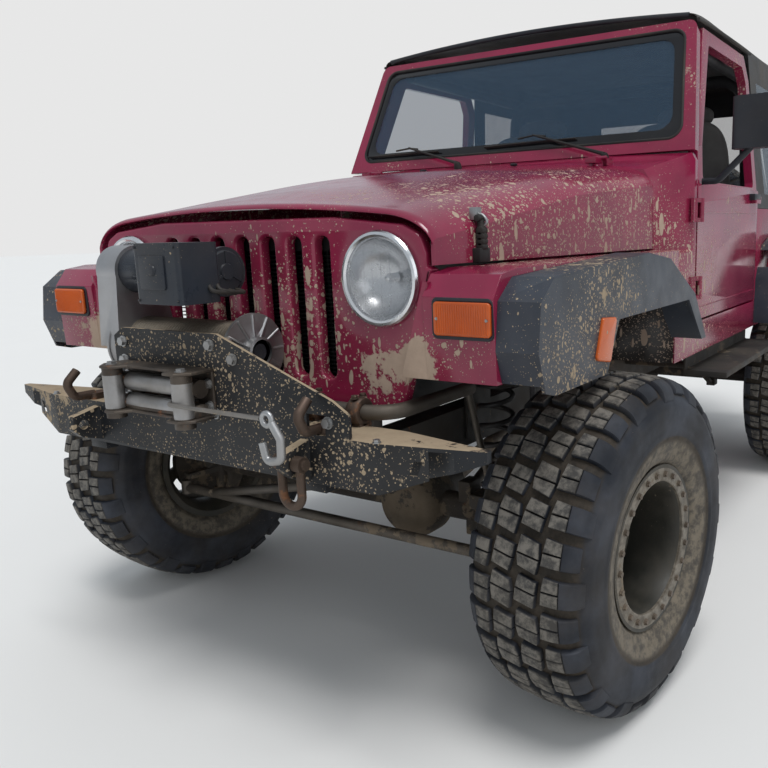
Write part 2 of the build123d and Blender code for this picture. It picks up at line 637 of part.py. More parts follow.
def top_shell(inset):
    side = [
        (HEADER_X, SCREEN_TOP_Z + 1 + inset), (HEADER_X - 6, SCREEN_TOP_Z + 36 - inset),
        (-1500, ROOF_Z - inset), (-2300, ROOF_Z - 6 - inset), (TUB_REAR_X + 210 + inset, ROOF_Z - 44 - inset),
        (TUB_REAR_X + 110 + inset, ROOF_Z - 96 - inset), (TUB_REAR_X + 4 + inset, RAIL_Z + SEAT_GAP),
        (DOOR_REAR_X - SHUT_GAP, RAIL_Z + SEAT_GAP), (DOOR_REAR_X - SHUT_GAP, SCREEN_TOP_Z + 1 + inset),
    ]
    if inset:
        inner_x = HEADER_X - 46
        side[-3:] = [(TUB_REAR_X + 4 + inset, RAIL_Z - 5), (inner_x, RAIL_Z - 5), (inner_x, SCREEN_TOP_Z)]
        side[0] = (inner_x, SCREEN_TOP_Z + 10)
        side[1] = (HEADER_X - 50, SCREEN_TOP_Z + 36 - inset)
    front = half_to_full([
        (TUB_Y - 1 - inset, RAIL_Z - 20), (SCREEN_TOP_Y + 2 - inset, SCREEN_TOP_Z + 2),
        (SCREEN_TOP_Y - 60, ROOF_Z - 16 - inset), (0, ROOF_Z + 10 - inset),
    ])
    return prism_xz(side, -TUB_Y, TUB_Y) & prism_yz(front, TUB_REAR_X, HEADER_X + 10)


def make_soft_top():
    shell = top_shell(0) - top_shell(TOP_T)
    # Quarter windows from the side, rear window from behind
    low_z = RAIL_Z + 66
    front_x, rear_x = DOOR_REAR_X - 128, TUB_REAR_X + 310
    quarter = [(front_x, low_z), (rear_x, low_z), (rear_x + 50, RAIL_Z + 526), (front_x, RAIL_Z + 556)]
    rear = [(-520, low_z), (520, low_z), (480, RAIL_Z + 496), (-480, RAIL_Z + 496)]
    quarter_cut = prism_xz(quarter, -TUB_Y, TUB_Y, 40)
    rear_cut = prism_yz(rear, TUB_REAR_X - 5, TUB_REAR_X + 260, 40)
    panes = (top_shell(2) - top_shell(6)) & (quarter_cut + rear_cut)
    shell = shell - quarter_cut - rear_cut
    keep("soft_top", shell)
    keep("top_windows", panes)


# Doors: full steel doors with a window frame, the glass wound down

def door_lean(shape):
    """Leans a door's upper frame inwards about the window sill."""
    return shape.rotate(Axis((0, TUB_Y, WINDOW_SILL_Z), (1, 0, 0)), SIDE_LEAN)


def make_doors():
    lower = [
        (DOOR_FRONT_X, DOOR_BOTTOM_Z), (DOOR_FRONT_X, WINDOW_SILL_Z + 2),
        (DOOR_REAR_X, WINDOW_SILL_Z + 2), (DOOR_REAR_X, DOOR_BOTTOM_Z),
    ]
    door = prism_xz(lower, TUB_Y - DOOR_T, TUB_Y + 2)
    top_z = SCREEN_TOP_Z - 16
    front_top = SCREEN_BASE_X - SCREEN_T - SHUT_GAP - SCREEN_LEAN
    upper = [
        (DOOR_FRONT_X - 4, WINDOW_SILL_Z - 30), (DOOR_FRONT_X - 40, COWL_REAR_Z + 16), (front_top - 4, top_z),
        (DOOR_REAR_X + 90, top_z), (DOOR_REAR_X + 30, top_z - 90), (DOOR_REAR_X + 2, WINDOW_SILL_Z - 30),
    ]
    window = [
        (DOOR_FRONT_X - 70, WINDOW_SILL_Z + 14), (DOOR_FRONT_X - 96, COWL_REAR_Z + 26),
        (front_top - 58, top_z - DOOR_FRAME_W), (DOOR_REAR_X + 122, top_z - DOOR_FRAME_W),
        (DOOR_REAR_X + 84, top_z - 110), (DOOR_REAR_X + 62, WINDOW_SILL_Z + 14),
    ]
    frame = prism_xz(upper, TUB_Y - DOOR_T + 8, TUB_Y - 4)
    frame -= prism_xz(window, TUB_Y - DOOR_T - 10, TUB_Y + 10, 24)
    door = door + door_lean(frame)
    # Hollow inside, between the inner and outer panels
    hollow_y = (TUB_Y - DOOR_T + 6, TUB_Y - 6)
    door -= block(DOOR_REAR_X + 30, DOOR_FRONT_X - 30, *hollow_y, DOOR_BOTTOM_Z + 20, WINDOW_SILL_Z - 20)
    # Handle
    handle_x, handle_z = DOOR_REAR_X + 40, WINDOW_SILL_Z - 52
    door += block(handle_x, handle_x + 90, TUB_Y, TUB_Y + 26, handle_z, handle_z + 28, 6)
    # Hinge knuckles on the front edge
    for z in DOOR_HINGES_Z:
        door += block(HINGE_X - 30, HINGE_X, TUB_Y - 4, HINGE_Y, z, z + HINGE_H)
        door += rod((HINGE_X, HINGE_Y, z), (HINGE_X, HINGE_Y, z + HINGE_H), HINGE_R)
    keep("door_left", door)
    keep("door_right", mirror(door, about=Plane.XZ))
    # Mirror on the left door only: head on a bent arm
    head = block(MIRROR_X - MIRROR_DEPTH, MIRROR_X, MIRROR_IN_Y, MIRROR_OUT_Y, MIRROR_LOW_Z, MIRROR_TOP_Z, 20)
    arm_x, low_z = MIRROR_X - 40, MIRROR_ARM_Z
    arm = [(TUB_Y + 2.5, low_z), (TUB_Y + 55, low_z), (MIRROR_IN_Y + 57, MIRROR_LOW_Z + 5)]
    keep("mirror_left", head + pipe([(arm_x, y, z) for y, z in arm], 11, 30))


# Inside: dashboard with column and wheel, seats, roll bar

# Steering wheel: hub centre, ring radius, ring thickness, column length
WHEEL_HUB = (-1250, 370, RAIL_Z + 66)
WHEEL_RING_R = 185
WHEEL_RIM_T = 14
COLUMN_LEN = 210

# Front seat and rear bench seen from the side: x and height over the sill
FRONT_SEAT = [
    (-1330, 230), (-1325, 320), (-1370, 345), (-1760, 305), (-1870, 805), (-1895, 985), (-1985, 980),
    (-1975, 805), (-1900, 230),
]
REAR_BENCH = [(-2180, 245), (-2180, 365), (-2560, 335), (-2620, 685), (-2710, 685), (-2680, 245)]
SEAT_Y = 370
SEAT_HALF = 245
BENCH_HALF = 440

# Roll bar
HOOP_X = -2060
HOOP_Y = 600
HOOP_TOP_Z = SCREEN_TOP_Z - 46
HOOP_R = 27
HOOP_LEG_X = TUB_REAR_X + 240


def make_interior():
    dash_x = DOOR_FRONT_X + SHUT_GAP - SEAT_GAP
    board = [
        (dash_x, COWL_FRONT_Z - 96), (dash_x, COWL_REAR_Z - 40), (-1010, COWL_REAR_Z - 45),
        (-1075, COWL_FRONT_Z - 100), (-1050, RAIL_Z - 80), (-960, RAIL_Z - 100),
    ]
    dash_y = TUB_Y - DOOR_T - 9
    dash = prism_xz(board, -dash_y, dash_y)
    tilt = Vector(-1, 0, 0.45).normalized()
    wheel = Plane(origin=WHEEL_HUB, z_dir=tilt)
    dash += rod(tuple(Vector(*WHEEL_HUB) - tilt * COLUMN_LEN), WHEEL_HUB, 26)
    dash += wheel * Torus(WHEEL_RING_R, WHEEL_RIM_T)
    for degrees in (90, 210, 330):
        angle = math.radians(degrees)
        tip = wheel.from_local_coords((WHEEL_RING_R * math.cos(angle), WHEEL_RING_R * math.sin(angle), 0))
        dash += rod(WHEEL_HUB, tuple(tip), 11)
    keep("dashboard", dash)
    floor_z = SILL_Z + FLOOR_T + SEAT_GAP
    for y in (-SEAT_Y, SEAT_Y):
        seat = prism_xz([(x, SILL_Z + z) for x, z in FRONT_SEAT], y - SEAT_HALF, y + SEAT_HALF)
        keep("seats", seat + block(-1840, -1400, y - 180, y + 180, floor_z, SILL_Z + 235))
    bench = prism_xz([(x, SILL_Z + z) for x, z in REAR_BENCH], -BENCH_HALF, BENCH_HALF)
    keep("seats", bench + block(-2640, -2240, 40 - BENCH_HALF, BENCH_HALF - 40, floor_z, SILL_Z + 250))
    # Main hoop, front bars to the screen, rear legs
    foot_z = ARCH_TOP_Z - ARCH_T - 8
    hoop = [
        (HOOP_X, -HOOP_Y - 40, foot_z), (HOOP_X, -HOOP_Y, HOOP_TOP_Z), (HOOP_X, HOOP_Y, HOOP_TOP_Z),
        (HOOP_X, HOOP_Y + 40, foot_z),
    ]
    bar = pipe(hoop, HOOP_R, 120)
    for y in (4 - HOOP_Y, HOOP_Y - 4):
        bar += rod((HOOP_X, y, HOOP_TOP_Z - 5), (HEADER_X - 66, y, SCREEN_TOP_Z - 40), HOOP_R - 3)
        bar += rod((HOOP_X, y, HOOP_TOP_Z - 30), (HOOP_LEG_X, y, foot_z + 90), HOOP_R - 3)
        bar += rod((HOOP_LEG_X, y, foot_z), (HOOP_LEG_X, y, foot_z + 110), HOOP_R - 3)
    seat_z = ARCH_TOP_Z - ARCH_T + SEAT_GAP
    keep("sport_bar", bar - block(HOOP_LEG_X - 140, HOOP_X + 160, -TUB_Y, TUB_Y, foot_z - 30, seat_z))


# Engine, gearbox and transfer case, tank, exhaust

GEARBOX_REAR_X = -1230
TRANSFER_REAR_X = -1500
ENGINE_HALF = 190
ENGINE_MOUNT_Z = SILL_Z + 45
# Gearbox seen from the side: x and height over the sill
GEARBOX = [(-560, -105), (-560, 125), (-960, 105), (-1260, 65), (-1260, -105)]
# Exhaust over the rear axle
TANK_REAR_X = -WHEELBASE - 588
TAIL_PIPE_Y = 67 - RAIL_Y
TAIL_PIPE_Z = SILL_Z - 165
DOWN_PIPE_Z = SILL_Z - 10
FRONT_PIPE_Z = SILL_Z - 207


def make_drivetrain():
    engine = block(-560, 180, -ENGINE_HALF, ENGINE_HALF, SILL_Z - 55, SILL_Z + 415, 20)
    engine += prism_xz([(x, SILL_Z + z) for x, z in GEARBOX], -115, 115)
    engine += block(TRANSFER_REAR_X, GEARBOX_REAR_X, -100, 250, SILL_Z - 135, SILL_Z - 12, 30)
    for sign in (-1, 1):
        arm_y = sorted((0, sign * (RAIL_Y - 85)))
        foot_y = sorted((sign * (RAIL_Y - 85), sign * (RAIL_Y - 25)))
        engine += block(-220, -140, *arm_y, ENGINE_MOUNT_Z - 40, ENGINE_MOUNT_Z)
        engine += block(-220, -140, *foot_y, RAIL_TOP_Z + SEAT_GAP, ENGINE_MOUNT_Z)
    keep("engine_gearbox", engine)
    keep("fuel_tank", block(TANK_REAR_X, TANK_REAR_X + 370, -250, 300, SILL_Z - 195, SILL_Z - SEAT_GAP, 40))
    front_pipe = [
        (-300, -ENGINE_HALF - SEAT_GAP, DOWN_PIPE_Z), (-300, -250, DOWN_PIPE_Z), (-640, -270, FRONT_PIPE_Z),
        (-1450, -270, FRONT_PIPE_Z), (-1640, MUFFLER_Y, MUFFLER_Z),
    ]
    tail_pipe = [
        (-1900, MUFFLER_Y, MUFFLER_Z), (382 - WHEELBASE, MUFFLER_Y, MUFFLER_Z),
        (262 - WHEELBASE, TAIL_PIPE_Y, TAIL_PIPE_Z),
        (REAR_BUMPER_X + 30, TAIL_PIPE_Y, TAIL_PIPE_Z),
    ]
    exhaust = pipe(front_pipe, 25, 40)
    exhaust += rod((-1620, MUFFLER_Y, MUFFLER_Z), (-1920, MUFFLER_Y, MUFFLER_Z), MUFFLER_R)
    keep("exhaust", exhaust + pipe(tail_pipe, 24, 80))
    pinion_z = TYRE_R + 10
    front_pinion = (-PINION_REACH - SEAT_GAP, DIFF_Y, pinion_z)
    rear_pinion = (PINION_REACH - WHEELBASE + SEAT_GAP, 0, pinion_z)
    keep("driveshafts", shaft((GEARBOX_REAR_X + SEAT_GAP, 195, SILL_Z - 90), front_pinion, 27))
    keep("driveshafts", shaft((TRANSFER_REAR_X - SEAT_GAP, 40, SILL_Z - 65), rear_pinion, 30))


# Axles, steering and suspension

def axle_housing(x, diff_y, half_length, cover_side):
    centre = (x, diff_y, TYRE_R)
    axle = rod((x, -half_length, TYRE_R), (x, half_length, TYRE_R), AXLE_TUBE_R)
    # Bulb round the ring gear: radius against offset along the car
    bulb = [
        (0, -92), (60, -88), (94, -60), (DIFF_R, -20), (DIFF_R, 30), (98, 58), (80, 78), (0, 84),
    ]
    axle += turned(bulb, centre, (cover_side, 0, 0))
    # Spring seats, arm brackets and shock feet
    for sign in (-1, 1):
        spring_y, arm_y, shock_y = sign * SPRING_Y, sign * ARM_Y, sign * SHOCK_Y
        axle += block(x - 60, x + 60, spring_y - 60, spring_y + 60, TYRE_R + 20, SPRING_LOW_Z)
        axle += block(x - 30, x + 30, arm_y - 22, arm_y + 22, TYRE_R - 70, TYRE_R)
        axle += block(x - 30, x + 30, sign * RAIL_Y - 20, sign * RAIL_Y + 20, TYRE_R, TYRE_R + 84)
        axle += block(x + SHOCK_X - 26, x, shock_y - 22, shock_y + 22, SHOCK_LOW_Z - 24, SHOCK_LOW_Z)
    axle += shaft(centre, (x - cover_side * PINION_REACH, diff_y, TYRE_R + 10), 46)
    return axle


def track_bracket(x_axle, sign, z_frame, z_axle):
    """The axle's bracket at the low end of its track bar."""
    near, far = -sign * TRACK_BAR_AXLE_Y, -sign * (TRACK_BAR_AXLE_Y + 32)
    low_x = x_axle + TRACK_BAR_X - TRACK_BAR_R
    return block(low_x, x_axle - 20, min(near, far), max(near, far), TYRE_R - 30, z_axle + 26)


def make_axles():
    front = axle_housing(0, DIFF_Y, KINGPIN_Y - 45, 1)
    for sign in (-1, 1):
        yoke = [
            (sign * (KINGPIN_Y - 70), TYRE_R - 60), (sign * (KINGPIN_Y - 70), TYRE_R + 60),
            (sign * (KINGPIN_Y - 30), TYRE_R + YOKE_GAP + 30),
            (sign * (KINGPIN_Y + 24), TYRE_R + YOKE_GAP + 30),
            (sign * (KINGPIN_Y + 24), TYRE_R + YOKE_GAP), (sign * (KINGPIN_Y - 34), TYRE_R + YOKE_GAP),
            (sign * (KINGPIN_Y - 52), TYRE_R + 50), (sign * (KINGPIN_Y - 52), TYRE_R - 50),
            (sign * (KINGPIN_Y - 34), TYRE_R - YOKE_GAP), (sign * (KINGPIN_Y + 24), TYRE_R - YOKE_GAP),
            (sign * (KINGPIN_Y + 24), TYRE_R - YOKE_GAP - 30),
            (sign * (KINGPIN_Y - 30), TYRE_R - YOKE_GAP - 30),
        ]
        front += prism_yz(yoke, -26, 26)
    keep("front_axle", front + track_bracket(*TRACK_BARS[0]))
    rear = axle_housing(-WHEELBASE, 0, HALF_TRACK + DISC_OUT - 22, -1)
    for sign in (-1, 1):
        x = -WHEELBASE
        y0 = sign * (HALF_TRACK + DISC_OUT - 24)
        rear += rod((x, y0, TYRE_R), (x, y0 - sign * 60, TYRE_R), 128)
        rear += rod((x, y0, TYRE_R), (x, sign * (HALF_TRACK + DISC_OUT - SEAT_GAP), TYRE_R), 62)
    keep("rear_axle", rear + track_bracket(*TRACK_BARS[1]))


def make_suspension():
    for x, top in ((0, FRONT_SPRING_TOP_Z), (-WHEELBASE, REAR_SPRING_TOP_Z)):
        for sign in (-1, 1):
            y = sign * SPRING_Y
            low, high = SPRING_LOW_Z + SEAT_GAP, top - SEAT_GAP
            coil = rod((x, y, low), (x, y, high), SPRING_R)
            coil -= rod((x, y, low - 5), (x, y, high + 5), SPRING_R - 14)
            keep("springs_and_shocks", coil)
            shock_x, shock_y = x + SHOCK_X, sign * SHOCK_Y
            low, middle = SHOCK_LOW_Z + SEAT_GAP, (SHOCK_LOW_Z + top) / 2
            shock = rod((shock_x, shock_y, low), (shock_x, shock_y, middle), SHOCK_R)
            shock += rod((shock_x, shock_y, middle), (shock_x, shock_y, high), SHOCK_R - 14)
            keep("springs_and_shocks", shock)
    # Control arms between axle and frame brackets: axle x, its facing side, y and z of the axle end,
    # bracket and the height of the arm above the bracket's foot
    lower_z, upper_z = TYRE_R - 52, TYRE_R + 66
    arms = [
        (0, -1, ARM_Y, lower_z, ARM_BRACKETS[0], 20),
        (0, -1, RAIL_Y, upper_z, ARM_BRACKETS[1], 16),
        (-WHEELBASE, 1, ARM_Y, lower_z, ARM_BRACKETS[2], 20),
        (-WHEELBASE, 1, RAIL_Y, upper_z, ARM_BRACKETS[3], 16),
    ]
    for axle_x, facing, y, z, (bracket_x, foot_z), rise in arms:
        near = (axle_x + facing * (30 + SEAT_GAP), y, z)
        far = (bracket_x - facing * (16 + SEAT_GAP), RAIL_Y, foot_z + rise)
        arm = shaft(near, far, 15)
        keep("suspension_links", *both_sides(arm))
    for x_axle, sign, z_frame, z_axle in TRACK_BARS:
        x = x_axle + TRACK_BAR_X
        high = (x, sign * (TRACK_BRACKET_Y - SEAT_GAP), z_frame)
        low = (x, -sign * (TRACK_BAR_AXLE_Y - SEAT_GAP), z_axle)
        keep("suspension_links", shaft(high, low, TRACK_BAR_R, (0, 1, 0)))
    # Sway bar ahead of the radiator, with its drop links
    path = [(175, -SWAY_Y), (SWAY_X, -SWAY_Y), (SWAY_X, SWAY_Y), (175, SWAY_Y)]
    bar = pipe([(x, y, SWAY_Z) for x, y in path], SWAY_R, 70)
    for y in (-SWAY_Y, SWAY_Y):
        bar += rod((188, y, SWAY_Z), (60 + 9 + SEAT_GAP, y, SPRING_LOW_Z - 16), 9)
    keep("sway_bar", bar)


# Wheels: tyre and deep rim turned about the hub, then steered to their rest angle

# Half section of the tyre: radius, offset from the middle of the tread
TYRE_HALF = [
    (RIM_R, RIM_W / 2 - 12), (RIM_R + 19, RIM_W / 2 - 7), (RIM_R + 26, RIM_W / 2 + 8),
    (RIM_R + 95, TYRE_W / 2 - 1), (RIM_R + 140, TYRE_W / 2), (TYRE_R - 48, TYRE_W / 2 - 6),
    (TYRE_R - 16, TYRE_W / 2 - 22), (TYRE_R - 4, TYRE_W / 2 - 62), (TYRE_R, 0),
]


def make_tyre(centre):
    full = TYRE_HALF + [(r, -h) for r, h in reversed(TYRE_HALF) if h > 0]
    return turned(full, centre)


def make_rim(centre, outward):
    half_w = RIM_W / 2
    wall = 7
    outer = [
        (RIM_R - SEAT_GAP, -half_w + 12), (RIM_R - SEAT_GAP, -half_w + 30), (RIM_R - 26, -half_w + 60),
        (RIM_R - 26, half_w - 60), (RIM_R - SEAT_GAP, half_w - 30), (RIM_R - SEAT_GAP, half_w - 12),
        (RIM_R + 17, half_w - 6), (RIM_R + 17, half_w), (RIM_R - 14, half_w),
        (RIM_R - 26 - wall, half_w - 50), (RIM_R - 26 - wall, -half_w + 50), (RIM_R - 14, -half_w),
        (RIM_R + 17, -half_w), (RIM_R + 17, -half_w + 6),
    ]
    rim = turned(outer, (0, 0, 0))
    disc = [
        (HUB_BORE_R, DISC_OUT), (HUB_BORE_R, DISC_OUT + 12), (80, DISC_OUT + 12), (110, DISC_OUT + 34),
        (RIM_R - 26 - wall + 1, DISC_OUT + 34), (RIM_R - 26 - wall + 1, DISC_OUT + 22),
        (116, DISC_OUT + 22), (86, DISC_OUT),
    ]
    rim += turned(disc, (0, 0, 0))
    for index in range(STUD_COUNT):
        angle = 2 * math.pi * index / STUD_COUNT
        x, z = BOLT_CIRCLE_R * math.cos(angle), BOLT_CIRCLE_R * math.sin(angle)
        rim -= rod((x, DISC_OUT - 5, z), (x, DISC_OUT + 20, z), STUD_HOLE_R)
    for index in range(8):
        angle = 2 * math.pi * index / 8
        x, z = 126 * math.cos(angle), 126 * math.sin(angle)
        rim -= rod((x, DISC_OUT + 10, z), (x, DISC_OUT + 45, z), 17)
    if outward < 0:
        rim = mirror(rim, about=Plane.XZ)
    return Pos(*centre) * rim


def steered(shape, sign):
    """Turns a piece about its kingpin to the wheels' parked angle."""
    return shape.rotate(Axis((0, sign * KINGPIN_Y, 0), (0, 0, 1)), STEER_REST)


def make_wheels():
    for side, sign in (("left", 1), ("right", -1)):
        centre = (0, sign * HALF_TRACK, TYRE_R)
        keep(f"front_{side}_tyre", steered(make_tyre(centre), sign))
        keep(f"front_{side}_rim", steered(make_rim(centre, sign), sign))
        centre = (-WHEELBASE, sign * HALF_TRACK, TYRE_R)
        keep(f"rear_{side}_tyre", make_tyre(centre))
        keep(f"rear_{side}_rim", make_rim(centre, sign))
        # Knuckle with hub, brake disc and a steering arm pointing forward
        reach = YOKE_GAP - SEAT_GAP
        pin = rod((0, sign * KINGPIN_Y, TYRE_R - reach), (0, sign * KINGPIN_Y, TYRE_R + reach), 24)
        hub_face = sign * (HALF_TRACK + DISC_OUT - SEAT_GAP)
        knuckle = pin + rod((0, sign * (KINGPIN_Y - 8), TYRE_R), (0, hub_face, TYRE_R), 62)
        knuckle += rod((0, hub_face - sign * 36, TYRE_R), (0, hub_face - sign * 14, TYRE_R), 134)
        arm_y = sorted((sign * (KINGPIN_Y - 14), sign * (KINGPIN_Y + 14)))
        knuckle += block(0, STEER_ARM, arm_y[0], arm_y[1], TIE_Z + ARM_RISE, TIE_Z + ARM_RISE + 20)
        keep(f"knuckle_{side}", steered(knuckle, sign))


def make_steering_links():
    swing = math.radians(STEER_REST)
    dx, dy = STEER_ARM * math.cos(swing), STEER_ARM * math.sin(swing)
    left, right = (dx, KINGPIN_Y + dy, TIE_Z), (dx, -KINGPIN_Y + dy, TIE_Z)
    tie = rod(left, right, LINK_R)
    for end in (left, right):
        tie += rod((end[0], end[1], TIE_Z - 20), (end[0], end[1], TIE_Z + ARM_RISE - SEAT_GAP), BALL_R)
    top = (PITMAN_X + dx, PITMAN_Y + dy, PITMAN_Z)
    low = (dx, -KINGPIN_Y + dy + 130, TIE_Z)
    tie += rod(low, top, LINK_R - 2)
    low_z = PITMAN_Z + BALL_R + 1
    tie += rod((top[0], top[1], PITMAN_Z - BALL_R), (top[0], top[1], low_z - SEAT_GAP), BALL_R)
    keep("tie_rod", tie)
    ends = (PITMAN_X - 24, PITMAN_X + STEER_ARM + 24)
    arm = block(*ends, PITMAN_Y - 22, PITMAN_Y + 22, low_z, low_z + PITMAN_T - SEAT_GAP, 20)
    keep("pitman_arm", arm.rotate(Axis((PITMAN_X, PITMAN_Y, 0), (0, 0, 1)), STEER_REST))


# Front bumper, winch and recovery gear

def make_bumper():
    plan = [
        (BUMPER_X, -BUMPER_BEND_Y), (BUMPER_X, BUMPER_BEND_Y), (BUMPER_TIP_X, BUMPER_TIP_Y),
        (BUMPER_TIP_X - 16, BUMPER_TIP_Y), (BUMPER_X - 110, BUMPER_BEND_Y),
        (BUMPER_X - 110, -BUMPER_BEND_Y), (BUMPER_TIP_X - 16, -BUMPER_TIP_Y),
        (BUMPER_TIP_X, -BUMPER_TIP_Y),
    ]
    bumper = prism_xy(plan, BUMPER_LOW_Z, BUMPER_TOP_Z)
    wall = PLATE_T
    hollow = [
        (BUMPER_X - wall, -BUMPER_BEND_Y), (BUMPER_X - wall, BUMPER_BEND_Y),
        (BUMPER_TIP_X + 16, BUMPER_TIP_Y - 60), (BUMPER_X - 100, BUMPER_BEND_Y),
        (BUMPER_X - 130, BUMPER_BEND_Y - 20), (BUMPER_X - 130, -BUMPER_BEND_Y + 20),
        (BUMPER_X - 100, -BUMPER_BEND_Y), (BUMPER_TIP_X + 16, -BUMPER_TIP_Y + 60),
    ]
    bumper -= prism_xy(hollow, BUMPER_LOW_Z - 5, BUMPER_TOP_Z - wall)
    for sign in (-1, 1):
        rise = [
            (sign * (BUMPER_BEND_Y + 10), BUMPER_LOW_Z), (sign * (BUMPER_TIP_Y + 5), BUMPER_LOW_Z),
            (sign * (BUMPER_TIP_Y + 5), BUMPER_TOP_Z - 22),
        ]
        bumper -= prism_yz(rise, BUMPER_X - 200, BUMPER_X + 10)
        # Recovery lug with its shackle hole
        y = sign * LUG_Y
        lug = [
            (BUMPER_X - 4, BUMPER_LOW_Z + 6), (BUMPER_X + 52, BUMPER_LOW_Z + 24),
            (BUMPER_X + 76, BUMPER_LOW_Z + 48), (BUMPER_X + 70, BUMPER_LOW_Z + 80),
            (BUMPER_X - 4, BUMPER_LOW_Z + 96),
        ]
        piece = prism_xz(lug, y - LUG_T / 2, y + LUG_T / 2)
        hole = (BUMPER_X + 46, BUMPER_LOW_Z + 56)
        piece -= rod((hole[0], y - 20, hole[1]), (hole[0], y + 20, hole[1]), SHACKLE_HOLE_R)
        bumper += piece
        # Bracket back to the frame rail
        bumper += block(
            RAIL_FRONT_X + SEAT_GAP, BUMPER_X - 4, sign * RAIL_Y - RAIL_W / 2, sign * RAIL_Y + RAIL_W / 2,
            BUMPER_LOW_Z - 20, BUMPER_TOP_Z - 4,
        )
    # Upright winch plate with a rope slot
    low_z = BUMPER_TOP_Z - 6
    upright = [
        (PLATE_RIGHT_Y, low_z), (PLATE_RIGHT_Y, low_z + 184), (-222, low_z + 205), (116, low_z + 205),
        (452, low_z + 83), (496, low_z + 57), (496, low_z),
    ]
    bumper += prism_yz(upright, BUMPER_X - PLATE_T, BUMPER_X)
    # Notch for the tow hook that comes through the plate
    notch_y = (TOW_HOOK_Y - 26, TOW_HOOK_Y + 26)
    bumper -= block(BUMPER_X - 20, BUMPER_X + 5, *notch_y, BUMPER_TOP_Z, BUMPER_TOP_Z + 44)
    slot = [
        (FAIRLEAD_Y - SLOT_HALF, ROPE_SLOT_LOW_Z), (FAIRLEAD_Y + SLOT_HALF, ROPE_SLOT_LOW_Z),
        (FAIRLEAD_Y + SLOT_HALF, ROPE_SLOT_TOP_Z), (FAIRLEAD_Y - SLOT_HALF, ROPE_SLOT_TOP_Z),
    ]
    bumper -= prism_yz(slot, BUMPER_X - 20, BUMPER_X + 10, 12)
    # Slanted slots through the front face of the wings
    hole = [(-15, 48), (2, 48), (14, 78), (-3, 78)]
    for sign in (-1, 1):
        slant = [(sign * (WING_HOLES_Y + y), BUMPER_LOW_Z + z) for y, z in hole]
        bumper -= prism_yz(slant, BUMPER_X - 55, BUMPER_X + 5)
    keep("front_bumper", bumper)


def make_fairlead():
    y0, y1 = FAIRLEAD_Y - FAIRLEAD_HALF, FAIRLEAD_Y + FAIRLEAD_HALF
    frame = block(FAIRLEAD_X, FAIRLEAD_X + 7, y0, y1, FAIRLEAD_LOW_Z + 22, FAIRLEAD_TOP_Z)
    slot_y0, slot_y1 = FAIRLEAD_Y - SLOT_HALF + 4, FAIRLEAD_Y + SLOT_HALF - 4
    frame -= block(FAIRLEAD_X - 5, FAIRLEAD_X + 12, slot_y0, slot_y1, ROPE_SLOT_LOW_Z, ROPE_SLOT_TOP_Z)
    reach_x = FAIRLEAD_X + FAIRLEAD_REACH
    ear = [
        (FAIRLEAD_X, y0), (FAIRLEAD_X + 62, y0), (reach_x, y0 + 26), (reach_x, y0 + 64),
        (FAIRLEAD_X + 56, y0 + 84), (FAIRLEAD_X + 56, y1 - 84), (reach_x, y1 - 64), (reach_x, y1 - 26),
        (FAIRLEAD_X + 62, y1), (FAIRLEAD_X, y1),
    ]
    for z in (FAIRLEAD_LOW_Z + 14, FAIRLEAD_TOP_Z - 7):
        frame += prism_xy(ear, z, z + 7)
    for y in (FAIRLEAD_Y - ROLLER_Y, FAIRLEAD_Y + ROLLER_Y):
        frame += rod((ROLLER_X, y, FAIRLEAD_LOW_Z), (ROLLER_X, y, FAIRLEAD_TOP_Z), ROLLER_R)
    for z in (ROPE_Z - 28, ROPE_Z + 28):
        frame += rod((FAIRLEAD_X + 32, y0 + 10, z), (FAIRLEAD_X + 32, y1 - 10, z), ROLLER_R - 2)
    keep("fairlead", frame)


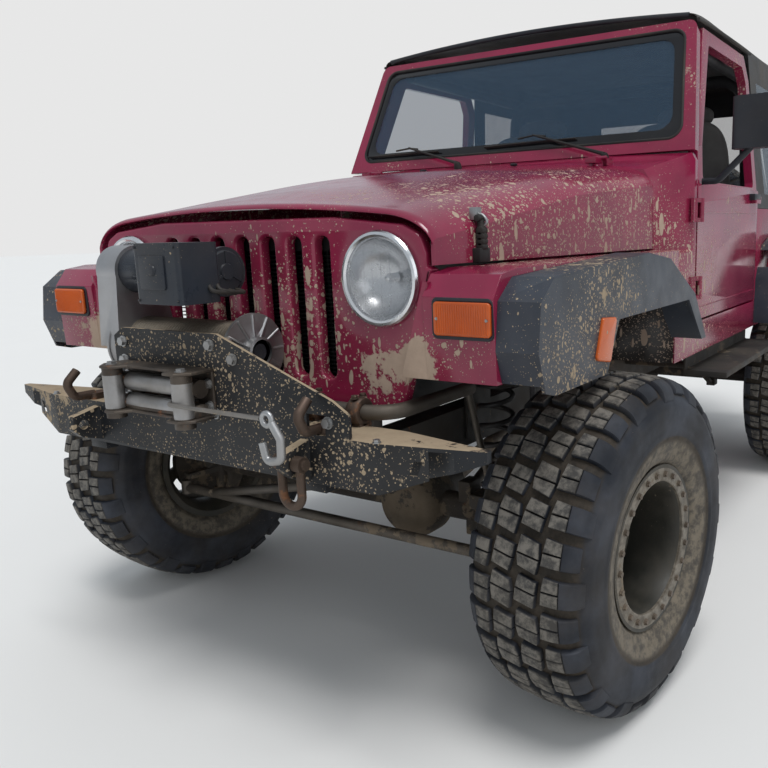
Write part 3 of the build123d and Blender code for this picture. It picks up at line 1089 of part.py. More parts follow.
def make_winch():
    case = rod((DRUM_X, CASE_RIGHT_Y + 30, DRUM_Z), (DRUM_X, DRUM_RIGHT_Y, DRUM_Z), DRUM_FLANGE_R)
    case += rod((MOTOR_X, CASE_RIGHT_Y, MOTOR_Z), (MOTOR_X, DRUM_RIGHT_Y, MOTOR_Z), 64)
    side = [(DRUM_X - 86, DRUM_Z), (MOTOR_X - 62, MOTOR_Z), (MOTOR_X + 62, MOTOR_Z), (DRUM_X + 88, DRUM_Z)]
    case += prism_xz(side, CASE_RIGHT_Y, DRUM_RIGHT_Y)
    # Two tie bars with feet bolted to the upright plate
    for z in (DRUM_Z - 62, DRUM_Z + 35):
        case += rod((TIE_BAR_X, DRUM_RIGHT_Y - 5, z), (TIE_BAR_X, DRUM_LEFT_Y + 12, z), 9)
        for y in (-190, 90):
            case += block(TIE_BAR_X, BUMPER_X - PLATE_T - SEAT_GAP, y - 20, y + 20, z - 12, z + 12)
    # Ribbed flange at the drum's left end: radius, y
    flange = [
        (20, DRUM_LEFT_Y), (20, DRUM_LEFT_Y + 24), (34, DRUM_LEFT_Y + 24), (34, DRUM_LEFT_Y + 10),
        (84, DRUM_LEFT_Y + 8), (DRUM_FLANGE_R, DRUM_LEFT_Y + 8), (DRUM_FLANGE_R, DRUM_LEFT_Y),
    ]
    end = turned(flange, (DRUM_X, 0, DRUM_Z))
    for index in range(12):
        angle = 2 * math.pi * index / 12
        along_x, along_z = math.cos(angle), math.sin(angle)
        start = (DRUM_X + 36 * along_x, DRUM_LEFT_Y + 8, DRUM_Z + 36 * along_z)
        finish = (DRUM_X + 88 * along_x, DRUM_LEFT_Y + 8, DRUM_Z + 88 * along_z)
        end += rod(start, finish, 4)
    keep("winch_housing", case + end)
    ends = (DRUM_RIGHT_Y + SEAT_GAP, DRUM_LEFT_Y - SEAT_GAP)
    keep("winch_drum", rod((DRUM_X, ends[0], DRUM_Z), (DRUM_X, ends[1], DRUM_Z), DRUM_R))
    motor = rod((MOTOR_X, DRUM_RIGHT_Y + SEAT_GAP, MOTOR_Z), (MOTOR_X, MOTOR_LEFT_Y, MOTOR_Z), MOTOR_R)
    motor += block(MOTOR_X + 50, MOTOR_X + 160, -45, 106, MOTOR_Z - 64, MOTOR_Z + 70, 10)
    keep("winch_motor", motor)


def make_recovery_gear():
    hole_x, hole_z = BUMPER_X + 46, BUMPER_LOW_Z + 56
    # Bow shackle through the left lug
    hole_z -= SHACKLE_HOLE_R - SHACKLE_PIN_R - SEAT_GAP
    pin = rod((hole_x, LUG_Y - 44, hole_z), (hole_x, LUG_Y + 46, hole_z), SHACKLE_PIN_R)
    low_z = hole_z - SHACKLE_LEG
    bow = Plane(origin=(hole_x, LUG_Y, low_z), z_dir=(1, 0, 0)) * Torus(SHACKLE_HALF, SHACKLE_R)
    bow -= block(hole_x - 20, hole_x + 20, LUG_Y - 60, LUG_Y + 60, low_z, low_z + 60)
    for y in (LUG_Y - SHACKLE_HALF, LUG_Y + SHACKLE_HALF):
        bow += rod((hole_x, y, low_z), (hole_x, y, hole_z), SHACKLE_R)
        bow += rod((hole_x, y - SHACKLE_R - 1.5, hole_z), (hole_x, y + SHACKLE_R + 1.5, hole_z), 17)
    keep("bow_shackle", pin + bow)
    # Rope round the left roller to the hook, which rests behind the lug's nose
    turn_y = FAIRLEAD_Y + ROLLER_Y - ROLLER_R - ROPE_R - SEAT_GAP
    end_y = LUG_Y - 28
    path = [
        (DRUM_X, turn_y - 8, DRUM_Z - DRUM_R - ROPE_R - SEAT_GAP), (BUMPER_X - 16, turn_y - 4, ROPE_Z),
        (ROPE_X, turn_y, ROPE_Z), (ROPE_X, end_y, ROPE_Z),
    ]
    keep("winch_rope", pipe(path, ROPE_R, ROLLER_R + ROPE_R))
    hook = Plane(origin=(ROPE_X, end_y + 19 + SEAT_GAP, ROPE_Z), z_dir=(1, 0, 0)) * Torus(13, 6)
    # Hook bar: y from the lug, z from the rope
    bend = [(4, -6), (26, -38), (24, -82), (-16, -90), (-26, -50)]
    hook += pipe([(ROPE_X, LUG_Y + y, ROPE_Z + z) for y, z in bend], HOOK_R, 14)
    keep("winch_hook", hook)
    # Tow hooks bolted to the bumper's top: x and z of the bent bar
    for y in (-TOW_HOOK_Y, TOW_HOOK_Y):
        low = BUMPER_TOP_Z + SEAT_GAP
        hook = block(BUMPER_X - 84, BUMPER_X - 6, y - 20, y + 20, low, low + 16, 8)
        hook += pipe(
            [(BUMPER_X - 20, y, low + 12), (BUMPER_X + 34, y, low + 13), (BUMPER_X + 52, y, low + 50),
             (BUMPER_X + 20, y, low + 80)],
            11, 18,
        )
        keep("tow_hooks", hook)


# Rock rails and rear bumper

ROCK_RAIL_FRONT_X = -960
ROCK_RAIL_REAR_X = -1840
ROCK_RAIL_LOW_Z = SILL_Z - 87
ROCK_RAIL_T = 22
ROCK_RAIL_Y = 850
HITCH_LOW_Z = SILL_Z - 155
HITCH_WALL = 8


def make_rails_and_rear():
    low_z, top_z = ROCK_RAIL_LOW_Z, ROCK_RAIL_LOW_Z + ROCK_RAIL_T
    rail = block(ROCK_RAIL_REAR_X, ROCK_RAIL_FRONT_X, 700, ROCK_RAIL_Y, low_z, top_z)
    rail += block(ROCK_RAIL_REAR_X, ROCK_RAIL_FRONT_X, 690, 702, low_z, SILL_Z - SEAT_GAP)
    for x in (-1650, -1120):
        rail += block(x - 30, x + 30, RAIL_Y + RAIL_W / 2 + SEAT_GAP, 720, low_z, top_z)
    keep("rock_rails", *both_sides(rail))
    back_x = REAR_BUMPER_X
    rear = block(back_x, back_x + 60, -700, 700, RAIL_LOW_Z + 11, RAIL_LOW_Z + 111, 8)
    for y in (-RAIL_Y, RAIL_Y):
        arm_z = (RAIL_LOW_Z + 15, RAIL_LOW_Z + 105)
        rear += block(back_x + 50, RAIL_REAR_X - SEAT_GAP, y - 30, y + 30, *arm_z)
    # Square hitch socket through the bumper
    half, wall, low_z = HITCH_INNER / 2, HITCH_WALL, HITCH_LOW_Z
    top_z = low_z + HITCH_INNER
    rear += block(back_x - 40, back_x + 60, -half - wall, half + wall, low_z - wall, top_z + wall)
    rear -= block(back_x - 45, back_x + 80, -half, half, low_z, top_z)
    keep("rear_bumper", rear)


# Tailgate with the spare wheel on its carrier

def make_tailgate():
    floor_z = SILL_Z + FLOOR_T
    gate = block(TUB_REAR_X - 2, TUB_REAR_X + WALL_T - 6, -TAILGATE_Y, TAILGATE_Y, floor_z + 26, RAIL_Z - 2)
    spare_x = TUB_REAR_X - SPARE_STANDOFF - TYRE_W / 2
    hub_x = spare_x - DISC_OUT + SEAT_GAP
    carrier = [(-130, SPARE_Z - 200), (130, SPARE_Z - 200), (90, SPARE_Z + 110), (-90, SPARE_Z + 110)]
    gate += prism_yz(carrier, TUB_REAR_X - 14, TUB_REAR_X - 1)
    gate += rod((TUB_REAR_X - 10, 0, SPARE_Z), (hub_x, 0, SPARE_Z), 60)
    for z in GATE_HINGES_Z:
        gate += block(TUB_REAR_X - 20, TUB_REAR_X - 6, GATE_HINGE_Y, -TAILGATE_Y + 120, z, z + GATE_HINGE_H)
        gate += block(TUB_REAR_X - 8, TUB_REAR_X, -TAILGATE_Y + 10, -TAILGATE_Y + 120, z, z + GATE_HINGE_H)
        gate += rod((GATE_HINGE_X, GATE_HINGE_Y, z), (GATE_HINGE_X, GATE_HINGE_Y, z + GATE_HINGE_H), HINGE_R)
    keep("tailgate", gate)
    tyre = make_tyre((0, 0, 0)).rotate(Axis.Z, 90)
    keep("spare_tyre", Pos(spare_x, 0, SPARE_Z) * tyre)
    rim = make_rim((0, 0, 0), 1).rotate(Axis.Z, 90)
    keep("spare_rim", Pos(spare_x, 0, SPARE_Z) * rim)


def make_lamps():
    for sign in (-1, 1):
        y0, y1 = sign * SIGNAL_Y - 71, sign * SIGNAL_Y + 71
        face = FENDER_FRONT_X + 8
        outline = [(y0, SIGNAL_LOW_Z), (y1, SIGNAL_LOW_Z), (y1, SIGNAL_TOP_Z), (y0, SIGNAL_TOP_Z)]
        turn = prism_yz(outline, face + SEAT_GAP, face + 18, 8)
        keep("signal_lamps", turn)
        tail_y = sign * 610
        tail_z = (RAIL_Z - 254, RAIL_Z - 104)
        tail = block(TUB_REAR_X - 40, TUB_REAR_X - SEAT_GAP, tail_y - 55, tail_y + 55, *tail_z, 8)
        keep("signal_lamps", tail)


make_frame()
make_tub()
make_grille()
make_hood()
make_fenders()
make_flares()
make_windscreen()
make_soft_top()
make_doors()
make_interior()
make_drivetrain()
make_axles()
make_suspension()
make_wheels()
make_steering_links()
make_bumper()
make_fairlead()
make_winch()
make_recovery_gear()
make_rails_and_rear()
make_tailgate()
make_lamps()

os.makedirs("parts", exist_ok=True)
for name, solids in NODES.items():
    placed = [Pos(ORIGIN_SHIFT, 0, 0) * solid for solid in solids]
    export_step(Compound(placed), f"parts/{name}.step")
    print(name, len(solids))
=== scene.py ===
"""Looks of a lifted off-road 4x4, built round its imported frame.

Every shape is worked out in millimetres from the middle of the front axle on the ground, X forward,
Y to the vehicle's left and Z up, and is put into the frame in metres at the end.
"""

from __future__ import annotations

import logging
import math
from dataclasses import dataclass, field
from enum import Enum
from functools import reduce

import bmesh
import bpy
import numpy as np
from mathutils import Matrix, Vector


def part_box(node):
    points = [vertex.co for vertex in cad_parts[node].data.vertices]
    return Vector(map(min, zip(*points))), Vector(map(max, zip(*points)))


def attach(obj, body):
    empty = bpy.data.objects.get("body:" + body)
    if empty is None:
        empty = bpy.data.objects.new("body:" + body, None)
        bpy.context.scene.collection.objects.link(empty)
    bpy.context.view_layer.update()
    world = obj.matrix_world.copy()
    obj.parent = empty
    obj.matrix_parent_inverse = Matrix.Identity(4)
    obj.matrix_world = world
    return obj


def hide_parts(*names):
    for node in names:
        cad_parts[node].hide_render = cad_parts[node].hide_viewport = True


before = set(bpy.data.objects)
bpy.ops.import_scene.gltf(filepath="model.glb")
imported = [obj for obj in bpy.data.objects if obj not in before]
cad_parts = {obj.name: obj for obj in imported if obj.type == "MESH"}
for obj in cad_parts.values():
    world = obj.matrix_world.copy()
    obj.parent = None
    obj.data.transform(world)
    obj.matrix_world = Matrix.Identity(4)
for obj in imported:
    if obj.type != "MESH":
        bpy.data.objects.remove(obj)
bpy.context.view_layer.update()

log = logging.getLogger("four_by_four")

Array = np.ndarray
Colour = tuple[float, float, float]
Point = tuple[float, float, float]
Socket = bpy.types.NodeSocket

WHEELBASE = 2372.0
HALF_TRACK = 815.0
TYRE_R = 424.0
KINGPIN_Y = 658.0
REST_TURN = math.radians(-6.0)
SPARE_MIDDLE = (-3227.0, 0.0, 1200.0)
REAR_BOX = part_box("rear_left_tyre")
AXLE_X = (REAR_BOX[0].x + REAR_BOX[1].x) / 2 + WHEELBASE / 1000


def metres(points: Array) -> Array:
    """Points in millimetres from the front axle as points in the frame, in metres."""
    return np.asarray(points, float) / 1000 + np.array([AXLE_X, 0.0, 0.0])


# Meshes


# Radius in millimetres at which a turned section stops short of its axis, so that its end still has a face
AXIS_R = 0.01
# Angle in degrees from which the edges of the frame's own shapes stay sharp
FRAME_CREASE = 30.0


@dataclass
class Patch:
    """Points in millimetres, the faces that join them, and one number of its own for each point.

    Faces are index arrays, one array for each number of corners.
    """

    points: Array
    faces: list[Array]
    mark: Array | None = None

    def marks(self) -> Array:
        """The points' own numbers, nought where none was given."""
        return np.zeros(len(self.points)) if self.mark is None else self.mark

    def __add__(self, other: Patch) -> Patch:
        """Both patches as one."""
        return joined([self, other])

    def moved(self, x: float = 0, y: float = 0, z: float = 0) -> Patch:
        """The patch carried by an offset."""
        return Patch(self.points + np.array([x, y, z], float), self.faces, self.mark)

    def turned(self, axis: Point, degrees: float, about: Point = (0, 0, 0)) -> Patch:
        """The patch turned about an axis through a point.

        Args:
            axis: The axis's direction.
            degrees: The angle.
            about: A point on the axis.

        Returns:
            The turned patch.
        """
        turn = np.array(Matrix.Rotation(math.radians(degrees), 3, Vector(axis)))
        centre = np.array(about, float)
        return Patch((self.points - centre) @ turn.T + centre, self.faces, self.mark)

    def aimed(self, direction: Point) -> Patch:
        """The patch with its own Z turned to a direction."""
        turn = np.array(Vector(direction).to_track_quat("Z", "Y").to_matrix())
        return Patch(self.points @ turn.T, self.faces, self.mark)

    def mirrored(self) -> Patch:
        """The mirror image across the middle plane, its faces turned to point outwards again."""
        return Patch(self.points * np.array([1.0, -1.0, 1.0]), [f[:, ::-1] for f in self.faces], self.mark)

    def marked(self, value: float) -> Patch:
        """The patch with the same number at each point."""
        return Patch(self.points, self.faces, np.full(len(self.points), float(value)))

    def outward(self) -> Patch:
        """The closed patch with its faces turned outwards.

        Its volume, the sum of p . (q x r) / 6 over the triangles (p, q, r), is negative where they look in.

        Returns:
            The patch itself, or a copy with its faces turned round.
        """
        volume = 0.0
        for group in self.faces:
            corners = self.points[group]
            for k in range(1, group.shape[1] - 1):
                normal = np.cross(corners[:, k], corners[:, k + 1])
                volume += float(np.einsum("ij,ij->", corners[:, 0], normal))
        return self if volume >= 0 else Patch(self.points, [f[:, ::-1] for f in self.faces], self.mark)


def joined(patches: list[Patch]) -> Patch:
    """All the patches as one.

    Args:
        patches: The patches.

    Returns:
        One patch that keeps their marks.
    """
    counts = np.cumsum([0] + [len(p.points) for p in patches])
    faces = [f + start for p, start in zip(patches, counts) for f in p.faces]
    return Patch(np.vstack([p.points for p in patches]), faces, np.concatenate([p.marks() for p in patches]))


def grid_faces(rows: int, columns: int, wrap_rows: bool, wrap_columns: bool) -> Array:
    """Four-cornered faces over a grid of points numbered row by row, its far edges joined where they wrap.

    Args:
        rows: How many rows of points.
        columns: How many points in a row.
        wrap_rows: Whether the last row joins the first.
        wrap_columns: Whether the last column joins the first.

    Returns:
        The faces as an array of four indices each.
    """
    r = np.arange(rows if wrap_rows else rows - 1)
    c = np.arange(columns if wrap_columns else columns - 1)
    rr, cc = np.meshgrid(r, c, indexing="ij")
    r2, c2 = (rr + 1) % rows, (cc + 1) % columns
    corners = [rr * columns + cc, r2 * columns + cc, r2 * columns + c2, rr * columns + c2]
    return np.stack([k.ravel() for k in corners], axis=1)


def sheet_patch(
    grid: Array, wrap_rows: bool = False, wrap_columns: bool = False, caps: bool = False,
) -> Patch:
    """A surface through a grid of points, shape (rows, columns, 3).

    Args:
        grid: The points, whose rows step along one parameter and whose columns step along the other.
        wrap_rows: Whether the last row joins the first.
        wrap_columns: Whether the last column joins the first.
        caps: Whether the first and last row are closed by a flat face.

    Returns:
        The surface as a patch.
    """
    rows, columns = grid.shape[:2]
    faces = [grid_faces(rows, columns, wrap_rows, wrap_columns)]
    if caps:
        first = np.arange(columns)[None, :]
        faces += [first, (first + (rows - 1) * columns)[:, ::-1]]
    return Patch(grid.reshape(-1, 3), faces)


def lathe(profile: list[tuple[float, float]], steps: int = 48, closed: bool = True) -> Patch:
    """A half section of (radius, height) turned once about Z, its ends closed where it isn't a loop.

    A point is (r cos a, r sin a, h) for each profile point and each angle a.

    Args:
        profile: The (radius, height) points.
        steps: How many steps round.
        closed: Whether the section is a loop.

    Returns:
        The turned shape.
    """
    section = np.array(profile, float)
    angle = np.linspace(0, 2 * math.pi, steps, endpoint=False)
    ring = np.stack([np.cos(angle), np.sin(angle)], axis=1)
    grid = np.empty((len(section), steps, 3))
    grid[:, :, :2] = section[:, None, :1] * ring[None]
    grid[:, :, 2] = section[:, None, 1]
    return sheet_patch(grid, wrap_rows=closed, wrap_columns=True, caps=not closed).outward()


def tube(path: Array, radius: float | Array, sides: int = 12) -> Patch:
    """A round bar along a path.

    Each section is a circle square to the path: centre + r (n cos a + b sin a), where n and b are carried
    along the path without twist.

    Args:
        path: The points of its middle line.
        radius: One radius, or one for each point.
        sides: How many sides round.

    Returns:
        The bar with closed ends.
    """
    path = np.asarray(path, float)
    ahead = np.gradient(path, axis=0)
    ahead /= np.linalg.norm(ahead, axis=1, keepdims=True)
    side = np.zeros_like(path)
    start = np.array([0.0, 0.0, 1.0]) if abs(ahead[0, 2]) < 0.9 else np.array([0.0, 1.0, 0.0])
    for i in range(len(path)):
        start = start - ahead[i] * (start @ ahead[i])
        start /= np.linalg.norm(start)
        side[i] = start
    up = np.cross(ahead, side)
    angle = np.linspace(0, 2 * math.pi, sides, endpoint=False)
    size = np.broadcast_to(np.asarray(radius, float), (len(path),))[:, None, None]
    grid = path[:, None] + size * (
        side[:, None] * np.cos(angle)[None, :, None] + up[:, None] * np.sin(angle)[None, :, None]
    )
    return sheet_patch(grid, wrap_columns=True, caps=True).outward()


def smooth_path(points: list[Point], steps: int = 10) -> Array:
    """A smooth line through points, by the Catmull-Rom rule, with steps points for each run.

    Args:
        points: The points that it passes.
        steps: How many points for each run.

    Returns:
        The line, shape (count, 3).
    """
    p = np.array(points, float)
    p = np.vstack([2 * p[0] - p[1], p, 2 * p[-1] - p[-2]])
    t = np.linspace(0, 1, steps, endpoint=False)[None, :, None]
    a, b, c, d = p[:-3, None], p[1:-2, None], p[2:-1, None], p[3:, None]
    line = 0.5 * (2 * b + (c - a) * t + (2 * a - 5 * b + 4 * c - d) * t**2 + (3 * b - a - 3 * c + d) * t**3)
    return np.vstack([line.reshape(-1, 3), p[-2]])


def prism(outline: list[tuple[float, float]], low: float, high: float) -> Patch:
    """A flat outline (x, y) carried from one height to another.

    Args:
        outline: The outline.
        low: The lower height.
        high: The upper height.

    Returns:
        The closed prism.
    """
    flat = np.array(outline, float)
    grid = np.empty((2, len(flat), 3))
    grid[:, :, :2] = flat
    grid[0, :, 2], grid[1, :, 2] = low, high
    return sheet_patch(grid, wrap_columns=True, caps=True).outward()


def box_patch(low: Point, high: Point) -> Patch:
    """A box between two corners."""
    (x0, y0, z0), (x1, y1, z1) = low, high
    return prism([(x0, y0), (x1, y0), (x1, y1), (x0, y1)], z0, z1)


def round_about(count: int, radius: float, start: float = 0.0) -> list[tuple[float, float]]:
    """Even places round a circle, as (u, v) from its middle, the first at a start angle in radians."""
    turns = start + 2 * math.pi * np.arange(count) / count
    return [(radius * math.cos(a), radius * math.sin(a)) for a in turns]


def hex_bolt(across: float, height: float) -> Patch:
    """A bolt head on its washer, standing on the ground plane and pointing up Z.

    Args:
        across: Its width across the flats.
        height: Its height with the washer.

    Returns:
        The head and the washer.
    """
    washer_r, washer_top = across * 0.72, height * 0.25
    head = prism(round_about(6, across / math.sqrt(3)), washer_top, height)
    washer = lathe([(AXIS_R, 0), (washer_r, 0), (washer_r, washer_top), (AXIS_R, washer_top)], 14, False)
    return head + washer


def rounded_ring(corners: list[tuple[float, float, float]], steps: int = 6) -> Array:
    """An outline of corners (u, v, radius), each corner rounded by an arc of its own radius.

    Args:
        corners: The corners in order round the outline.
        steps: How many steps in an arc.

    Returns:
        The outline, shape (count, 2).
    """
    ring = []
    count = len(corners)
    for i, (u, v, radius) in enumerate(corners):
        here = np.array([u, v])
        back, ahead = np.array(corners[i - 1][:2]) - here, np.array(corners[(i + 1) % count][:2]) - here
        back, ahead = back / np.linalg.norm(back), ahead / np.linalg.norm(ahead)
        half = math.acos(max(-1.0, min(1.0, float(back @ ahead)))) / 2
        if radius <= 0 or half > 1.55:
            ring.append(here[None])
            continue
        reach = radius / math.tan(half)
        start, end = here + back * reach, here + ahead * reach
        middle = here + (back + ahead) / np.linalg.norm(back + ahead) * radius / math.sin(half)
        swing = math.pi - 2 * half
        t = np.linspace(0, 1, steps + 1)[:, None]
        a, b = np.sin((1 - t) * swing), np.sin(t * swing)
        ring.append(middle + ((start - middle) * a + (end - middle) * b) / math.sin(swing))
    return np.vstack(ring)


def rounded_box(low: tuple[float, float], high: tuple[float, float], radius: float) -> Array:
    """An upright rectangle between two corners (u, v), its own corners rounded."""
    (u0, v0), (u1, v1) = low, high
    return rounded_ring([(u0, v0, radius), (u1, v0, radius), (u1, v1, radius), (u0, v1, radius)])


def in_scene(name: str, data: bpy.types.ID) -> bpy.types.Object:
    """A new object put into the scene.

    Args:
        name: Its name.
        data: Its mesh, curve, lamp or camera.

    Returns:
        The object.
    """
    made = bpy.data.objects.new(name, data)
    bpy.context.scene.collection.objects.link(made)
    return made


def plate(outline: Array, holes: list[Array], thickness: float, edge: float, steps: int = 2) -> Patch:
    """A flat plate with holes and rounded edges, its outline on the XY plane and its middle at z = 0.

    Args:
        outline: The outer ring of points.
        holes: The rings of the holes.
        thickness: The plate's thickness.
        edge: The radius of its edges.
        steps: How many steps round an edge.

    Returns:
        The closed plate.
    """
    curve = bpy.data.curves.new("plate", "CURVE")
    curve.dimensions = "2D"
    curve.fill_mode = "BOTH"
    curve.extrude = thickness / 2 - edge
    curve.bevel_depth = edge
    curve.bevel_resolution = steps
    curve.offset = -edge
    for ring in [outline, *holes]:
        spline = curve.splines.new("POLY")
        spline.points.add(len(ring) - 1)
        flat = np.column_stack([ring, np.zeros(len(ring)), np.ones(len(ring))])
        spline.points.foreach_set("co", flat.ravel())
        spline.use_cyclic_u = True
    shell = in_scene("plate", curve)
    evaluated = shell.evaluated_get(bpy.context.evaluated_depsgraph_get())
    work = bmesh.new()
    work.from_mesh(evaluated.to_mesh())
    bmesh.ops.remove_doubles(work, verts=work.verts, dist=1e-3)
    points = np.array([v.co[:] for v in work.verts])
    groups: dict[int, list[list[int]]] = {}
    for face in work.faces:
        groups.setdefault(len(face.verts), []).append([v.index for v in face.verts])
    work.free()
    bpy.data.objects.remove(shell)
    bpy.data.curves.remove(curve)
    return Patch(points, [np.array(g) for g in groups.values()]).outward()


def spread(patch: Patch, places: list[Point], direction: Point) -> Patch:
    """Copies of a small piece at several places, its Z turned to one direction."""
    aimed = patch.aimed(direction)
    return joined([aimed.moved(*p) for p in places])


@dataclass
class Refine:
    """How a mesh is finished: edge rounding, wall thickness, crease angle, and how near points are merged."""

    bevel: float = 0.0
    bevel_steps: int = 2
    bevel_angle: float = 30.0
    wall: float = 0.0
    crease: float = 38.0
    merge: float = 0.0


def finished_mesh(shell: bpy.types.Object) -> None:
    """Turns an object's live modifiers into its mesh.

    Args:
        shell: The object, left without modifiers.
    """
    evaluated = shell.evaluated_get(bpy.context.evaluated_depsgraph_get())
    mesh = bpy.data.meshes.new_from_object(evaluated)
    shell.modifiers.clear()
    shell.data = mesh


def dress(piece: bpy.types.Object, finish: Finish, body: str, crease: float) -> None:
    """Gives a new piece its shading, its finish and its body.

    Args:
        piece: The piece.
        finish: What it is made of.
        body: The body that it moves with.
        crease: The angle in degrees from which an edge stays sharp.
    """
    piece.data.shade_smooth()
    piece.data.set_sharp_from_angle(angle=math.radians(crease))
    piece.data.materials.clear()
    piece.data.materials.append(finish.material())
    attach(piece, body)


def build(
    name: str, patch: Patch, finish: Finish, body: str, refine: Refine | None = None,
) -> bpy.types.Object:
    """Makes a piece of the object from a patch.

    Args:
        name: The piece's name.
        patch: Its points and faces, in millimetres from the front axle.
        finish: What it is made of.
        body: The body that it moves with.
        refine: Edge rounding, wall, crease angle and merging.

    Returns:
        The new object, at the origin of the frame.
    """
    refine = refine or Refine()
    mesh = bpy.data.meshes.new(name)
    points = metres(patch.points)
    corners = np.concatenate([f.ravel() for f in patch.faces])
    sizes = np.concatenate([np.full(len(f), f.shape[1]) for f in patch.faces])
    mesh.vertices.add(len(points))
    mesh.vertices.foreach_set("co", points.astype(np.float32).ravel())
    mesh.loops.add(len(corners))
    mesh.loops.foreach_set("vertex_index", corners.astype(np.int32))
    mesh.polygons.add(len(sizes))
    mesh.polygons.foreach_set("loop_start", (np.cumsum(sizes) - sizes).astype(np.int32))
    mesh.update(calc_edges=True)
    mesh.attributes.new("mark", "FLOAT", "POINT").data.foreach_set("value", patch.marks().astype(np.float32))
    mesh.validate()
    shell = in_scene(name, mesh)
    if refine.merge:
        weld = shell.modifiers.new("weld", "WELD")
        weld.merge_threshold = refine.merge / 1000
    if refine.wall:
        wall = shell.modifiers.new("wall", "SOLIDIFY")
        wall.thickness = refine.wall / 1000
        wall.offset = -1
    if refine.bevel:
        edge = shell.modifiers.new("edge", "BEVEL")
        edge.width = refine.bevel / 1000
        edge.segments = refine.bevel_steps
        edge.limit_method = "ANGLE"
        edge.angle_limit = math.radians(refine.bevel_angle)
    if len(shell.modifiers):
        finished_mesh(shell)
    dress(shell, finish, body, refine.crease)
    log.info("%s: %d faces", name, len(shell.data.polygons))
    return shell


# How softened() reads a shape's edges: faces closer than FLAT are one face, edges turned further than SHARP
# are rounded where they are longer than LONG radii, and edges under CURVED of that belong to a curve and stay
FLAT = math.radians(2.0)
SHARP = 0.5
LONG = 3.2
CURVED = 0.7
SOFT_CREASE = 32.0


def softened(node: str, radius: float, steps: int = 2) -> bpy.types.Object:
    """A node's own shape with its long sharp edges rounded, put in the node's place.

    Args:
        node: The node of the frame.
        radius: The edges' radius in millimetres.
        steps: How many steps round an edge.

    Returns:
        The new piece, with the node's finish.
    """
    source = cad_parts[node]
    work = bmesh.new()
    work.from_mesh(source.data)
    work.transform(source.matrix_world)
    bmesh.ops.remove_doubles(work, verts=work.verts, dist=1e-5)
    bmesh.ops.dissolve_limit(work, angle_limit=FLAT, verts=work.verts[:], edges=work.edges[:])
    long = radius * LONG / 1000
    short = {v for e in work.edges if e.calc_length() < long * CURVED for v in e.verts}
    sharp = [
        e for e in work.edges
        if len(e.link_faces) == 2 and e.calc_length() > long and e.calc_face_angle(0.0) > SHARP
        and not (e.verts[0] in short and e.verts[1] in short)
    ]
    bmesh.ops.bevel(
        work, geom=sharp, offset=radius / 1000, offset_type="OFFSET", segments=steps, profile=0.5,
        affect="EDGES", clamp_overlap=True,
    )
    mesh = bpy.data.meshes.new(f"{node}_softened")
    work.to_mesh(mesh)
    work.free()
    piece = in_scene(f"{node}_softened", mesh)
    dress(piece, CAD_FINISHES[node], BODY_OF.get(node, "vehicle"), SOFT_CREASE)
    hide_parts(node)
    log.info("%s softened: %d edges, %d faces", node, len(sharp), len(mesh.polygons))
    return piece


BODY_OF: dict[str, str] = {
    "hood": "hood", "door_left": "door_left", "door_right": "door_right", "mirror_left": "door_left",
    "tailgate": "tailgate", "knuckle_left": "steer_left", "knuckle_right": "steer_right",
    "tie_rod": "steering_link", "pitman_arm": "pitman",
}


# Finishes


